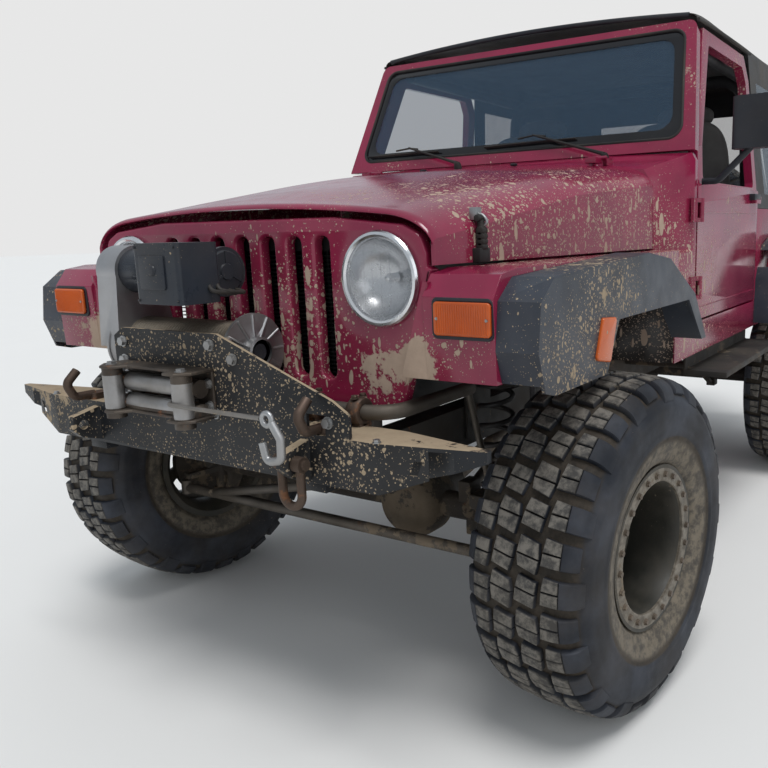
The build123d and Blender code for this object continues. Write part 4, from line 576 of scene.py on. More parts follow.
class Wiring:
    """A material's nodes, joined by short calls that each return a socket."""

    def __init__(self, name: str) -> None:
        """Starts a material with one shader and its object coordinates.

        Args:
            name: The material's name.
        """
        self.material = bpy.data.materials.new(name)
        self.material.use_nodes = True
        self.tree = self.material.node_tree
        self.tree.nodes.clear()
        self.shader = self.node("BsdfPrincipled")
        self.node("OutputMaterial", {0: self.shader.outputs[0]})
        self.place = self.node("TexCoord").outputs["Object"]

    def feed(self, socket: Socket, value: object) -> None:
        """Sets an input, or links it where the value is a socket.

        Args:
            socket: The input.
            value: A socket, a number, or a tuple, which may leave out a colour's fourth number.
        """
        if isinstance(value, bpy.types.NodeSocket):
            self.tree.links.new(value, socket)
        elif socket.type == "RGBA" and len(value) == 3:
            socket.default_value = (*value, 1.0)
        else:
            socket.default_value = value

    def node(
        self, kind: str, feeds: dict[str | int, object] | None = None, **settings: object,
    ) -> bpy.types.Node:
        """A new node.

        Args:
            kind: The node's type, without the words that all types start with.
            feeds: A value or socket for each input, by its name or number.
            settings: The node's own properties.

        Returns:
            The node.
        """
        made = self.tree.nodes.new(f"ShaderNode{kind}")
        for key, value in settings.items():
            setattr(made, key, value)
        for key, value in (feeds or {}).items():
            self.feed(made.inputs[key], value)
        return made

    def noise(
        self, scale: float, detail: float = 3.0, rough: float = 0.55, where: Socket | None = None,
    ) -> Socket:
        """A soft random field between 0 and 1, of so many waves to the metre."""
        feeds = {"Vector": where or self.place, "Scale": scale, "Detail": detail, "Roughness": rough}
        return self.node("TexNoise", feeds).outputs["Fac"]

    def cells(self, scale: float, where: Socket | None = None) -> tuple[Socket, Socket]:
        """Distance to the nearest of many scattered points, and a random colour for each point."""
        made = self.node("TexVoronoi", {"Vector": where or self.place, "Scale": scale})
        return made.outputs["Distance"], made.outputs["Color"]

    def stretch(self, x: float, y: float, z: float, where: Socket | None = None) -> Socket:
        """The coordinates scaled along each axis."""
        return self.node("Mapping", {"Vector": where or self.place, "Scale": (x, y, z)}).outputs[0]

    def wobble(self, scale: float, amount: float) -> Socket:
        """The coordinates pushed about by noise, by an amount in metres.

        Args:
            scale: How many waves the noise has to the metre.
            amount: How far it pushes.

        Returns:
            The pushed coordinates.
        """
        noise = self.node("TexNoise", {"Vector": self.place, "Scale": scale}).outputs["Color"]
        feeds = {0: noise, 1: (amount, amount, amount), 2: self.place}
        return self.node("VectorMath", feeds, operation="MULTIPLY_ADD").outputs[0]

    def calc(self, operation: str, a: object, b: object = 0.0, clamp: bool = False) -> Socket:
        """One step of arithmetic, its result kept between 0 and 1 where it is clamped."""
        return self.node("Math", {0: a, 1: b}, operation=operation, use_clamp=clamp).outputs[0]

    def step(self, value: object, low: object, high: object, bottom: float = 0.0, top: float = 1.0) -> Socket:
        """A smooth rise from bottom to top as the value goes from low to high."""
        feeds = dict(enumerate((value, low, high, bottom, top)))
        return self.node("MapRange", feeds, interpolation_type="SMOOTHSTEP").outputs[0]

    def blend(self, share: object, a: object, b: object) -> Socket:
        """A mix of two colours, by the share of the second."""
        return self.node("Mix", {"Factor": share, 6: a, 7: b}, data_type="RGBA").outputs[2]

    def axis(self, which: str, where: Socket | None = None) -> Socket:
        """One coordinate."""
        return self.node("SeparateXYZ", {0: where or self.place}).outputs[which]

    def upward(self) -> Socket:
        """How far a face looks up, from -1 to 1."""
        return self.axis("Z", self.node("NewGeometry").outputs["Normal"])

    def mark(self) -> Socket:
        """The mesh's own number at each point."""
        return self.node("Attribute", attribute_name="mark").outputs["Fac"]

    def bump(self, height: object, depth: float, strength: float = 1.0) -> Socket:
        """A bumped normal, with the full height in millimetres."""
        feeds = {"Height": height, "Distance": depth / 1000, "Strength": strength}
        return self.node("Bump", feeds).outputs[0]

    def dress(self, **inputs: object) -> None:
        """Feeds the shader's inputs, named with an underline for each space."""
        for key, value in inputs.items():
            self.feed(self.shader.inputs[key.replace("_", " ")], value)


MUD = (0.42, 0.325, 0.22)


@dataclass(frozen=True)
class Mud:
    """Dried mud: shares of film, patches, specks and long drops, with more low down and on upward faces."""

    film: float = 0.15
    patches: float = 0.2
    specks: float = 0.3
    low: float = 0.0
    upward: float = 0.0
    drops: float = 0.0
    splashes: tuple[tuple[Point, float, float, float], ...] = ()

    def splash(self, w: Wiring) -> tuple[Socket, Socket]:
        """Extra mud round some places, the same on both sides, for the patches and for the specks.

        Each splash is a middle in millimetres from the front axle, a radius and two amounts. It adds each
        amount times a smooth fall from 1 at the middle to 0 at the radius.

        Args:
            w: The material to wire.

        Returns:
            The extra patches and the extra specks.
        """
        split = w.node("SeparateXYZ", {0: w.place}).outputs
        folded = w.node("CombineXYZ", {0: split[0], 1: w.calc("ABSOLUTE", split[1]), 2: split[2]}).outputs[0]
        thick, fine = 0.0, 0.0
        for middle, radius, patch, speck in self.splashes:
            feeds = {0: folded, 1: tuple(metres(np.array(middle, float)))}
            away = w.node("VectorMath", feeds, operation="DISTANCE").outputs["Value"]
            here = w.step(away, radius / 1000, 0.0)
            thick = w.calc("ADD", thick, w.calc("MULTIPLY", here, patch))
            fine = w.calc("ADD", fine, w.calc("MULTIPLY", here, speck))
        return thick, fine

    def cover(self, w: Wiring) -> Socket:
        """How thick the mud lies at each point, from 0 to 1: the thickest of its kinds there.

        Args:
            w: The material to wire.

        Returns:
            The thickness.
        """
        covers = []
        need = w.noise(2.3, 3)
        if self.low:
            height = w.step(w.axis("Z"), 1.35, 0.35, 0.0, self.low * 0.35)
            need = w.calc("ADD", need, height)
        if self.upward:
            need = w.calc("ADD", need, w.calc("MULTIPLY", w.step(w.upward(), 0.2, 0.9), self.upward * 0.3))
        base = need
        if self.splashes:
            thick, fine_share = self.splash(w)
            base, need = w.calc("ADD", need, fine_share), w.calc("ADD", need, thick)
        if self.patches:
            fine = w.noise(16.0, 8, 0.68)
            mixed = w.calc("ADD", w.calc("MULTIPLY", fine, 0.62), w.calc("MULTIPLY", need, 0.5))
            need = base
            edge = 0.74 - 0.26 * self.patches
            covers.append(w.step(mixed, edge, edge + 0.035))

        def spots(
            where: Socket, sizes: tuple[tuple[float, float], ...], window: tuple[float, float, float],
            luck: tuple[str, float], edge: float,
        ) -> None:
            """Adds round spots at scattered points, larger where there is more need and by luck.

            Args:
                where: The coordinates.
                sizes: How many points to the metre, with the largest radius, for each layer.
                window: The need at which spots start and are full, and their radius below.
                luck: The channel of each point's random colour, and the least that counts.
                edge: How soft their edge is.
            """
            low, high, bottom = window
            for scale, size in sizes:
                distance, tint = w.cells(scale, where)
                reach = w.step(base, low, high, bottom, size)
                reach = w.calc("MULTIPLY", reach, w.step(w.axis(luck[0], tint), luck[1], 1.0))
                covers.append(w.step(w.calc("SUBTRACT", distance, reach), edge, 0.01))

        if self.specks:
            window = (0.62 - 0.4 * self.specks, 1.25 - 0.6 * self.specks, -0.02)
            pushed = w.wobble(60.0, 0.012)
            spots(pushed, ((38.0, 0.30), (90.0, 0.36), (190.0, 0.40)), window, ("X", 0.25), 0.05)
        if self.drops:
            window = (0.66 - 0.4 * self.drops, 1.2 - 0.5 * self.drops, -0.03)
            bent = w.stretch(26.0, 26.0, 8.5, w.wobble(9.0, 0.02))
            spots(bent, ((1.0, 0.30), (2.3, 0.34)), window, ("Y", 0.35), 0.04)
        if self.film:
            dust = w.calc("ADD", w.noise(7.0, 6, 0.7), w.calc("SUBTRACT", need, 0.5))
            covers.append(w.step(dust, 0.3, 0.85, 0.0, self.film))
        return reduce(lambda one, other: w.calc("MAXIMUM", one, other), covers)


MADE: dict[str, bpy.types.Material] = {}


class Make(Enum):
    """What a finish is, apart from its colour."""

    PAINT = "paint"
    METAL = "metal"
    PLASTIC = "plastic"
    RUBBER = "rubber"
    CLOTH = "cloth"
    GLASS = "glass"
    LENS = "lens"


@dataclass(frozen=True)
class Finish:
    """A finish: its colour, second colour for wear or variation, gloss, grain and the mud on it."""

    name: str
    make: Make
    colour: Colour
    second: Colour | None = None
    rough: float = 0.5
    grain: float = 0.0
    grain_scale: float = 400.0
    wear: float = 0.0
    mud: Mud | None = None
    mud_colour: Colour = MUD
    slot: str = ""
    see: float = 1.0
    ior: float = 1.45

    def material(self) -> bpy.types.Material:
        """The finish as a Blender material, made once.

        Returns:
            The material.
        """
        if self.name in MADE:
            return MADE[self.name]
        w = Wiring(self.name)
        MADE[self.name] = w.material
        soft = w.noise(5.0, 5, 0.6)
        second = self.second or tuple(0.8 * c for c in self.colour)
        colour = self.tint(w, w.blend(w.step(soft, 0.35, 0.7), self.colour, second))
        height = w.calc("MULTIPLY", w.noise(self.grain_scale, 4, 0.6), self.grain)
        metallic = 1.0 if self.make is Make.METAL else 0.0
        least, most = self.rough * 0.82, min(1.0, self.rough * 1.2)
        rough = w.step(w.noise(14.0, 5, 0.6), 0.25, 0.75, least, most)
        if self.wear:
            rust = w.step(w.noise(22.0, 8, 0.7), 0.72 - 0.35 * self.wear, 0.82 - 0.35 * self.wear)
            rusty = w.blend(w.noise(70.0, 4), (0.10, 0.042, 0.02), (0.24, 0.10, 0.045))
            colour = w.blend(rust, colour, rusty)
            rough = w.calc("ADD", rough, w.calc("MULTIPLY", rust, 0.4), clamp=True)
            metallic = w.calc("MULTIPLY", w.calc("SUBTRACT", 1.0, rust), metallic)
        if self.mud:
            cover = self.mud.cover(w)
            tone = w.blend(w.noise(28.0, 5, 0.65), self.mud_colour, tuple(0.62 * c for c in self.mud_colour))
            colour = w.blend(cover, colour, tone)
            rough = w.calc("ADD", w.calc("MULTIPLY", cover, 0.9 - self.rough), rough, clamp=True)
            if self.make is Make.METAL:
                metallic = w.calc("MULTIPLY", w.calc("SUBTRACT", 1.0, cover), metallic)
            height = w.calc("ADD", height, cover)
        self.shade(w, colour, rough, metallic, height)
        return w.material

    def tint(self, w: Wiring, colour: Socket) -> Socket:
        """The colour before wear and mud; plain finishes leave it as it is."""
        return colour

    def shade(self, w: Wiring, colour: Socket, rough: object, metallic: object, height: Socket) -> None:
        """Feeds the shader and its fixed sockets.

        Args:
            w: The material to wire.
            colour: The colour with wear and mud.
            rough: The roughness.
            metallic: The share of bare metal.
            height: The height of grain and mud.
        """
        w.dress(Base_Color=colour, Roughness=rough, Metallic=metallic, Normal=w.bump(height, 0.9, 0.8))
        w.dress(IOR=self.ior)
        if self.make is Make.CLOTH:
            w.dress(Sheen_Weight=0.05, Sheen_Roughness=0.5)
        if self.make is Make.GLASS:
            w.dress(Alpha=self.see)


@dataclass(frozen=True)
class Zone:
    """A stretch of the mesh's own mark, from none to all, with the two colours that take over there."""

    none: float
    full: float
    colour: Colour
    second: Colour


@dataclass(frozen=True)
class ZonedFinish(Finish):
    """A finish whose colour changes with the mark that the mesh carries."""

    zones: tuple[Zone, ...] = ()

    def tint(self, w: Wiring, colour: Socket) -> Socket:
        """The colour with every zone laid over it, mottled between the zone's two colours.

        Args:
            w: The material to wire.
            colour: The colour so far.

        Returns:
            The colour of every zone.
        """
        mark, mottle = w.mark(), w.step(w.noise(38.0, 7, 0.72), 0.38, 0.62)
        for zone in self.zones:
            low, high = (zone.none, zone.full) if zone.none < zone.full else (zone.full, zone.none)
            share = w.step(mark, low, high)
            if zone.none > zone.full:
                share = w.calc("SUBTRACT", 1.0, share)
            colour = w.blend(share, colour, w.blend(mottle, zone.colour, zone.second))
        return colour


@dataclass(frozen=True)
class BodyPaint(Finish):
    """Body paint with painted shade, in black, inside the front wheel houses and the engine bay."""

    # Colour of the painted shade that stands for the shadow inside the wheel houses and the engine bay
    painted_shade: Colour = (0.010, 0.010, 0.011)

    def tint(self, w: Wiring, colour: Socket) -> Socket:
        """The paint, with painted shade in black inside the wheel houses, below the fenders' tops and between
        the outer skins.

        Args:
            w: The material to wire.
            colour: The colour so far.

        Returns:
            The paint with its painted shade.
        """
        skin = w.step(w.calc("ABSOLUTE", w.axis("Y")), 0.7415, 0.7395)
        below = w.step(w.axis("Z"), 1.062, 1.058)
        behind, ahead = w.step(w.axis("X"), 0.44, 0.45), w.step(w.axis("X"), 1.672, 1.668)
        # Painted shade: the share of the paint turned black where the wheel houses and the engine bay lie in
        # shadow
        share = w.calc("MULTIPLY", w.calc("MULTIPLY", skin, below), w.calc("MULTIPLY", behind, ahead))
        return w.blend(share, colour, self.painted_shade)


PAINT = BodyPaint(
    "burgundy_paint", Make.PAINT, (0.245, 0.011, 0.050), (0.19, 0.009, 0.040), 0.14, 0.012, 900.0,
    mud=Mud(
        film=0.05, patches=0.10, specks=0.64, drops=0.66, low=0.35, splashes=(
            ((448, 535, 915), 120, 0.62, 0.5), ((455, 650, 950), 150, 0.15, 0.35),
            ((80, 610, 1230), 480, 0.0, 0.42),
            ((412, 160, 960), 240, 0.12, 0.4), ((-760, 720, 960), 560, 0.12, 0.46),
            ((420, 430, 880), 120, 0.3, 0.3),
            ((-420, 700, 1180), 480, 0.0, 0.36),
        ),
    ), mud_colour=(0.50, 0.37, 0.28), slot="paint", ior=1.5,
)
FLARE_PLASTIC = Finish(
    "flare_plastic", Make.PLASTIC, (0.022, 0.027, 0.038), (0.036, 0.043, 0.058), 0.4, 0.2, 900.0,
    mud=Mud(
        film=0.06, patches=0.06, specks=0.8, drops=0.7, low=0.2, upward=0.1,
        splashes=(((330, 850, 900), 200, 0.2, 0.25), ((60, 850, 1000), 260, 0.1, 0.3)),
    ), slot="black_plastic", ior=1.4,
)
TRIM_PLASTIC = Finish(
    "black_trim", Make.PLASTIC, (0.016, 0.018, 0.023), (0.026, 0.029, 0.036), 0.42, 0.15, 900.0,
    mud=Mud(film=0.04, patches=0.0, specks=0.4, low=0.3), slot="trim_plastic", ior=1.35,
)
FRAME_STEEL = Finish(
    "muddy_frame", Make.PAINT, (0.018, 0.017, 0.016), (0.035, 0.030, 0.026), 0.6, 0.3, 300.0, wear=0.3,
    mud=Mud(film=0.2, patches=0.3, specks=0.4, low=0.3), mud_colour=(0.16, 0.125, 0.09), slot="frame_steel",
    ior=1.35,
)
BUMPER_STEEL = Finish(
    "bumper_paint", Make.PAINT, (0.007, 0.009, 0.012), (0.016, 0.018, 0.022), 0.42, 0.2, 500.0, wear=0.08,
    mud=Mud(
        film=0.04, patches=0.05, specks=0.78, upward=1.1,
        splashes=(((585, 640, 810), 290, 0.34, 0.2), ((610, -60, 840), 300, 0.0, 0.15)),
    ), slot="bumper_steel", ior=1.33,
)
CAST_GREY = Finish(
    "cast_alloy", Make.METAL, (0.40, 0.40, 0.41), (0.27, 0.27, 0.27), 0.42, 0.4, 600.0,
    mud=Mud(film=0.12, patches=0.1, specks=0.3), slot="winch_case",
)
MOTOR_BLACK = Finish(
    "motor_black", Make.PAINT, (0.012, 0.016, 0.024), (0.02, 0.026, 0.036), 0.3, 0.08, 500.0,
    mud=Mud(film=0.06, patches=0.04, specks=0.5, upward=0.35), slot="winch_motor", ior=1.35,
)
DRUM_STEEL = Finish(
    "drum_steel", Make.METAL, (0.26, 0.25, 0.24), (0.16, 0.15, 0.14), 0.5, 0.3, 500.0, wear=0.1,
    mud=Mud(film=0.15, patches=0.12, specks=0.3), slot="winch_drum",
)
RUSTY_STEEL = Finish(
    "rusty_steel", Make.METAL, (0.12, 0.085, 0.07), (0.07, 0.05, 0.042), 0.6, 0.6, 260.0, wear=0.5,
    mud=Mud(film=0.12, patches=0.08, specks=0.2), slot="recovery",
)
ZINC_STEEL = Finish(
    "zinc_steel", Make.METAL, (0.40, 0.41, 0.42), (0.28, 0.28, 0.28), 0.4, 0.3, 300.0, wear=0.25,
    mud=Mud(film=0.15, patches=0.1, specks=0.2), slot="hook",
)
FAIRLEAD_STEEL = Finish(
    "fairlead_steel", Make.METAL, (0.11, 0.095, 0.085), (0.06, 0.05, 0.045), 0.55, 0.5, 260.0, wear=0.42,
    mud=Mud(film=0.15, patches=0.2, specks=0.35, upward=0.2), slot="fairlead",
)
ROLLER_STEEL = Finish(
    "roller_steel", Make.METAL, (0.40, 0.40, 0.41), (0.26, 0.25, 0.24), 0.42, 0.4, 300.0, wear=0.1,
    mud=Mud(film=0.2, patches=0.15, specks=0.3), slot="fairlead",
)
LINK_STEEL = Finish(
    "link_steel", Make.METAL, (0.14, 0.125, 0.11), (0.08, 0.07, 0.06), 0.6, 0.4, 300.0, wear=0.25,
    mud=Mud(film=0.25, patches=0.25, specks=0.3, low=0.2), mud_colour=(0.24, 0.185, 0.13), slot="link",
)
CAST_IRON = Finish(
    "cast_iron", Make.PAINT, (0.020, 0.018, 0.017), (0.036, 0.030, 0.025), 0.62, 0.7, 220.0, wear=0.3,
    mud=Mud(film=0.25, patches=0.3, specks=0.4, low=0.35), mud_colour=(0.15, 0.115, 0.08), slot="axle",
    ior=1.35,
)
ENGINE_METAL = Finish(
    "engine_metal", Make.METAL, (0.13, 0.13, 0.13), (0.08, 0.08, 0.08), 0.6, 0.4, slot="engine",
)
SPRING_PAINT = Finish(
    "spring_paint", Make.PAINT, (0.02, 0.02, 0.022), (0.04, 0.035, 0.03), 0.5, 0.3, wear=0.2,
    mud=Mud(film=0.2, patches=0.2, specks=0.4, low=0.3), mud_colour=(0.2, 0.155, 0.11), slot="spring",
)
TANK_PLASTIC = Finish(
    "tank_plastic", Make.PLASTIC, (0.02, 0.02, 0.02), None, 0.6, 0.3, mud=Mud(film=0.3, patches=0.3),
    mud_colour=(0.16, 0.125, 0.09), slot="tank",
)
EXHAUST_STEEL = Finish(
    "exhaust_steel", Make.METAL, (0.18, 0.15, 0.13), (0.10, 0.08, 0.065), 0.55, 0.4, wear=0.4,
    mud=Mud(film=0.2, patches=0.2), mud_colour=(0.2, 0.155, 0.11), slot="exhaust",
)
SHOCK_PAINT = Finish(
    "shock_paint", Make.PAINT, (0.05, 0.06, 0.09), (0.08, 0.08, 0.085), 0.5, 0.3, wear=0.15,
    mud=Mud(film=0.3, patches=0.35, specks=0.4, low=0.4), slot="spring",
)
ROPE_STEEL = Finish(
    "rope_steel", Make.METAL, (0.20, 0.18, 0.15), (0.13, 0.11, 0.09), 0.55, 0.6, 700.0, wear=0.15,
    mud=Mud(film=0.3, patches=0.1, specks=0.2), slot="winch_drum",
)
RUBBER_TRIM = Finish(
    "rubber_trim", Make.RUBBER, (0.012, 0.012, 0.013), (0.022, 0.022, 0.023), 0.62, 0.3, 800.0,
    mud=Mud(film=0.1, patches=0.0, specks=0.35), slot="trim_plastic", ior=1.35,
)
BLACK_GLASS = Finish(
    "black_border", Make.PLASTIC, (0.008, 0.008, 0.010), (0.012, 0.012, 0.013), 0.12, 0.05,
    slot="trim_plastic",
)
LAMP_GLASS = Finish(
    "lamp_glass", Make.GLASS, (0.42, 0.45, 0.48), (0.30, 0.32, 0.34), 0.04,
    mud=Mud(film=0.05, patches=0.0, specks=0.5),
    slot="lamp", see=0.16, ior=1.5,
)
RED_LENS = Finish(
    "red_lens", Make.LENS, (0.45, 0.012, 0.012), (0.32, 0.01, 0.01), 0.25, 0.05, 700.0,
    mud=Mud(film=0.15, patches=0.1, specks=0.3), slot="signal",
)
RADIATOR_CORE = Finish(
    "radiator_core", Make.METAL, (0.03, 0.03, 0.03), (0.05, 0.05, 0.05), 0.6, 0.4, slot="radiator",
)
DASH_PLASTIC = Finish(
    "dash_plastic", Make.PLASTIC, (0.035, 0.035, 0.038), (0.05, 0.05, 0.055), 0.6, 0.4, 1200.0, slot="dash",
)
BAR_PAINT = Finish(
    "bar_paint", Make.PAINT, (0.02, 0.02, 0.022), (0.035, 0.035, 0.038), 0.55, 0.3, 1200.0, slot="bar",
)
SEAT_CLOTH = Finish(
    "woven_seat", Make.CLOTH, (0.10, 0.095, 0.09), (0.14, 0.135, 0.13), 0.85, 0.8, 1500.0, slot="seat_cloth",
)
TOP_CLOTH = Finish(
    "soft_top_cloth", Make.CLOTH, (0.012, 0.012, 0.014), (0.02, 0.02, 0.022), 0.7, 0.6, 1100.0,
    mud=Mud(film=0.12, patches=0.0, specks=0.2), slot="soft_top",
)
RIM_ALLOY = ZonedFinish(
    "muddy_rim", Make.PAINT, (0.016, 0.017, 0.014), (0.030, 0.029, 0.024), 0.5, 0.5, 300.0,
    mud=Mud(film=0.25, patches=0.22, specks=0.5, low=0.25), mud_colour=(0.22, 0.175, 0.125), slot="rim",
    zones=(
        Zone(0.1, 0.2, (0.10, 0.092, 0.075), (0.05, 0.046, 0.038)),
        Zone(0.7, 0.8, (0.21, 0.185, 0.15), (0.085, 0.072, 0.055)),
        Zone(0.9, 1.0, (0.13, 0.10, 0.075), (0.06, 0.045, 0.034)),
    ),
)
TYRE_RUBBER = ZonedFinish(
    "tyre_rubber", Make.RUBBER, (0.008, 0.010, 0.015), (0.040, 0.045, 0.058), 0.62, 0.5, 420.0,
    mud=Mud(film=0.22, patches=0.16, specks=0.45), mud_colour=(0.20, 0.165, 0.125), slot="tyre", ior=1.33,
    zones=(
        Zone(0.62, 0.95, (0.165, 0.15, 0.13), (0.045, 0.043, 0.041)),
        Zone(0.28, 0.05, (0.020, 0.016, 0.012), (0.042, 0.032, 0.023)),
        Zone(-0.1, -0.9, (0.165, 0.138, 0.103), (0.060, 0.053, 0.045)),
    ),
)
AMBER = Finish(
    "amber_lens", Make.LENS, (0.58, 0.105, 0.012), (0.42, 0.07, 0.010), 0.18, 0.05, 700.0,
    mud=Mud(film=0.06, patches=0.0, specks=0.4), slot="signal",
)
LAMP_METAL = Finish(
    "lamp_metal", Make.METAL, (0.78, 0.79, 0.81), (0.66, 0.67, 0.69), 0.2, 0.1, 500.0,
    mud=Mud(film=0.15, patches=0.05, specks=0.3), slot="lamp",
)
SCREEN_GLASS = Finish(
    "tinted_screen", Make.GLASS, (0.045, 0.085, 0.135), (0.045, 0.085, 0.135), 0.02, slot="screen_glass",
    see=0.40,
)
CLEAR_SHEET = Finish(
    "clear_sheet", Make.GLASS, (0.22, 0.26, 0.30), (0.18, 0.22, 0.26), 0.06, slot="clear_vinyl", see=0.34,
)

MADE_OF: tuple[tuple[Finish, str], ...] = (
    (PAINT, "body_tub grille_shell hood front_fenders windscreen_frame door_left door_right tailgate"),
    (FRAME_STEEL, "frame_rails cross_members rock_rails"), (BUMPER_STEEL, "front_bumper rear_bumper"),
    (FLARE_PLASTIC, "fender_flares"), (TRIM_PLASTIC, "mirror_left"), (LAMP_METAL, "headlamps"),
    (AMBER, "signal_lamps"), (RADIATOR_CORE, "radiator"), (SCREEN_GLASS, "windscreen_glass"),
    (TOP_CLOTH, "soft_top"), (CLEAR_SHEET, "top_windows"), (DASH_PLASTIC, "dashboard"), (SEAT_CLOTH, "seats"),
    (BAR_PAINT, "sport_bar"), (ENGINE_METAL, "engine_gearbox"), (TANK_PLASTIC, "fuel_tank"),
    (EXHAUST_STEEL, "exhaust"), (CAST_IRON, "front_axle rear_axle knuckle_left knuckle_right"),
    (LINK_STEEL, "driveshafts suspension_links sway_bar tie_rod pitman_arm"),
    (SPRING_PAINT, "springs_and_shocks"), (FAIRLEAD_STEEL, "fairlead"), (CAST_GREY, "winch_housing"),
    (DRUM_STEEL, "winch_drum winch_rope"), (MOTOR_BLACK, "winch_motor"), (ZINC_STEEL, "winch_hook"),
    (RUSTY_STEEL, "bow_shackle tow_hooks"),
    (TYRE_RUBBER, "front_left_tyre front_right_tyre rear_left_tyre rear_right_tyre spare_tyre"),
    (RIM_ALLOY, "front_left_rim front_right_rim rear_left_rim rear_right_rim spare_rim"),
)
CAD_FINISHES: dict[str, Finish] = {node: finish for finish, nodes in MADE_OF for node in nodes.split()}


def dress_frame() -> None:
    """Gives every piece of the frame its finish."""
    for name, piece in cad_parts.items():
        finish = CAD_FINISHES.get(name, FRAME_STEEL)
        piece.data.materials.clear()
        piece.data.materials.append(finish.material())
        piece.data.shade_smooth()
        piece.data.set_sharp_from_angle(angle=math.radians(FRAME_CREASE))
    log.info("frame dressed: %d nodes", len(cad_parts))


# Wheels


TYRE_PROFILE: list[Point] = [
    (424.0, 0.0, 0.0), (423.4, 40.0, 0.0), (421.0, 80.0, 0.0), (417.0, 106.0, 0.0), (409.0, 127.0, 0.0),
    (396.0, 142.0, 0.0), (376.0, 151.0, 0.0), (350.0, 155.5, 0.0), (330.0, 156.8, 0.0), (305.0, 156.0, 0.0),
    (280.0, 153.0, 0.0), (255.0, 147.5, 0.0), (234.0, 141.0, 0.0), (222.0, 137.0, 0.0), (212.0, 128.0, 0.0),
    (206.0, 121.0, 0.0), (191.5, 118.0, 0.0),
]
TREAD_DEPTH = 15.0
TREAD_EDGE = 111.0
PITCHES = 16


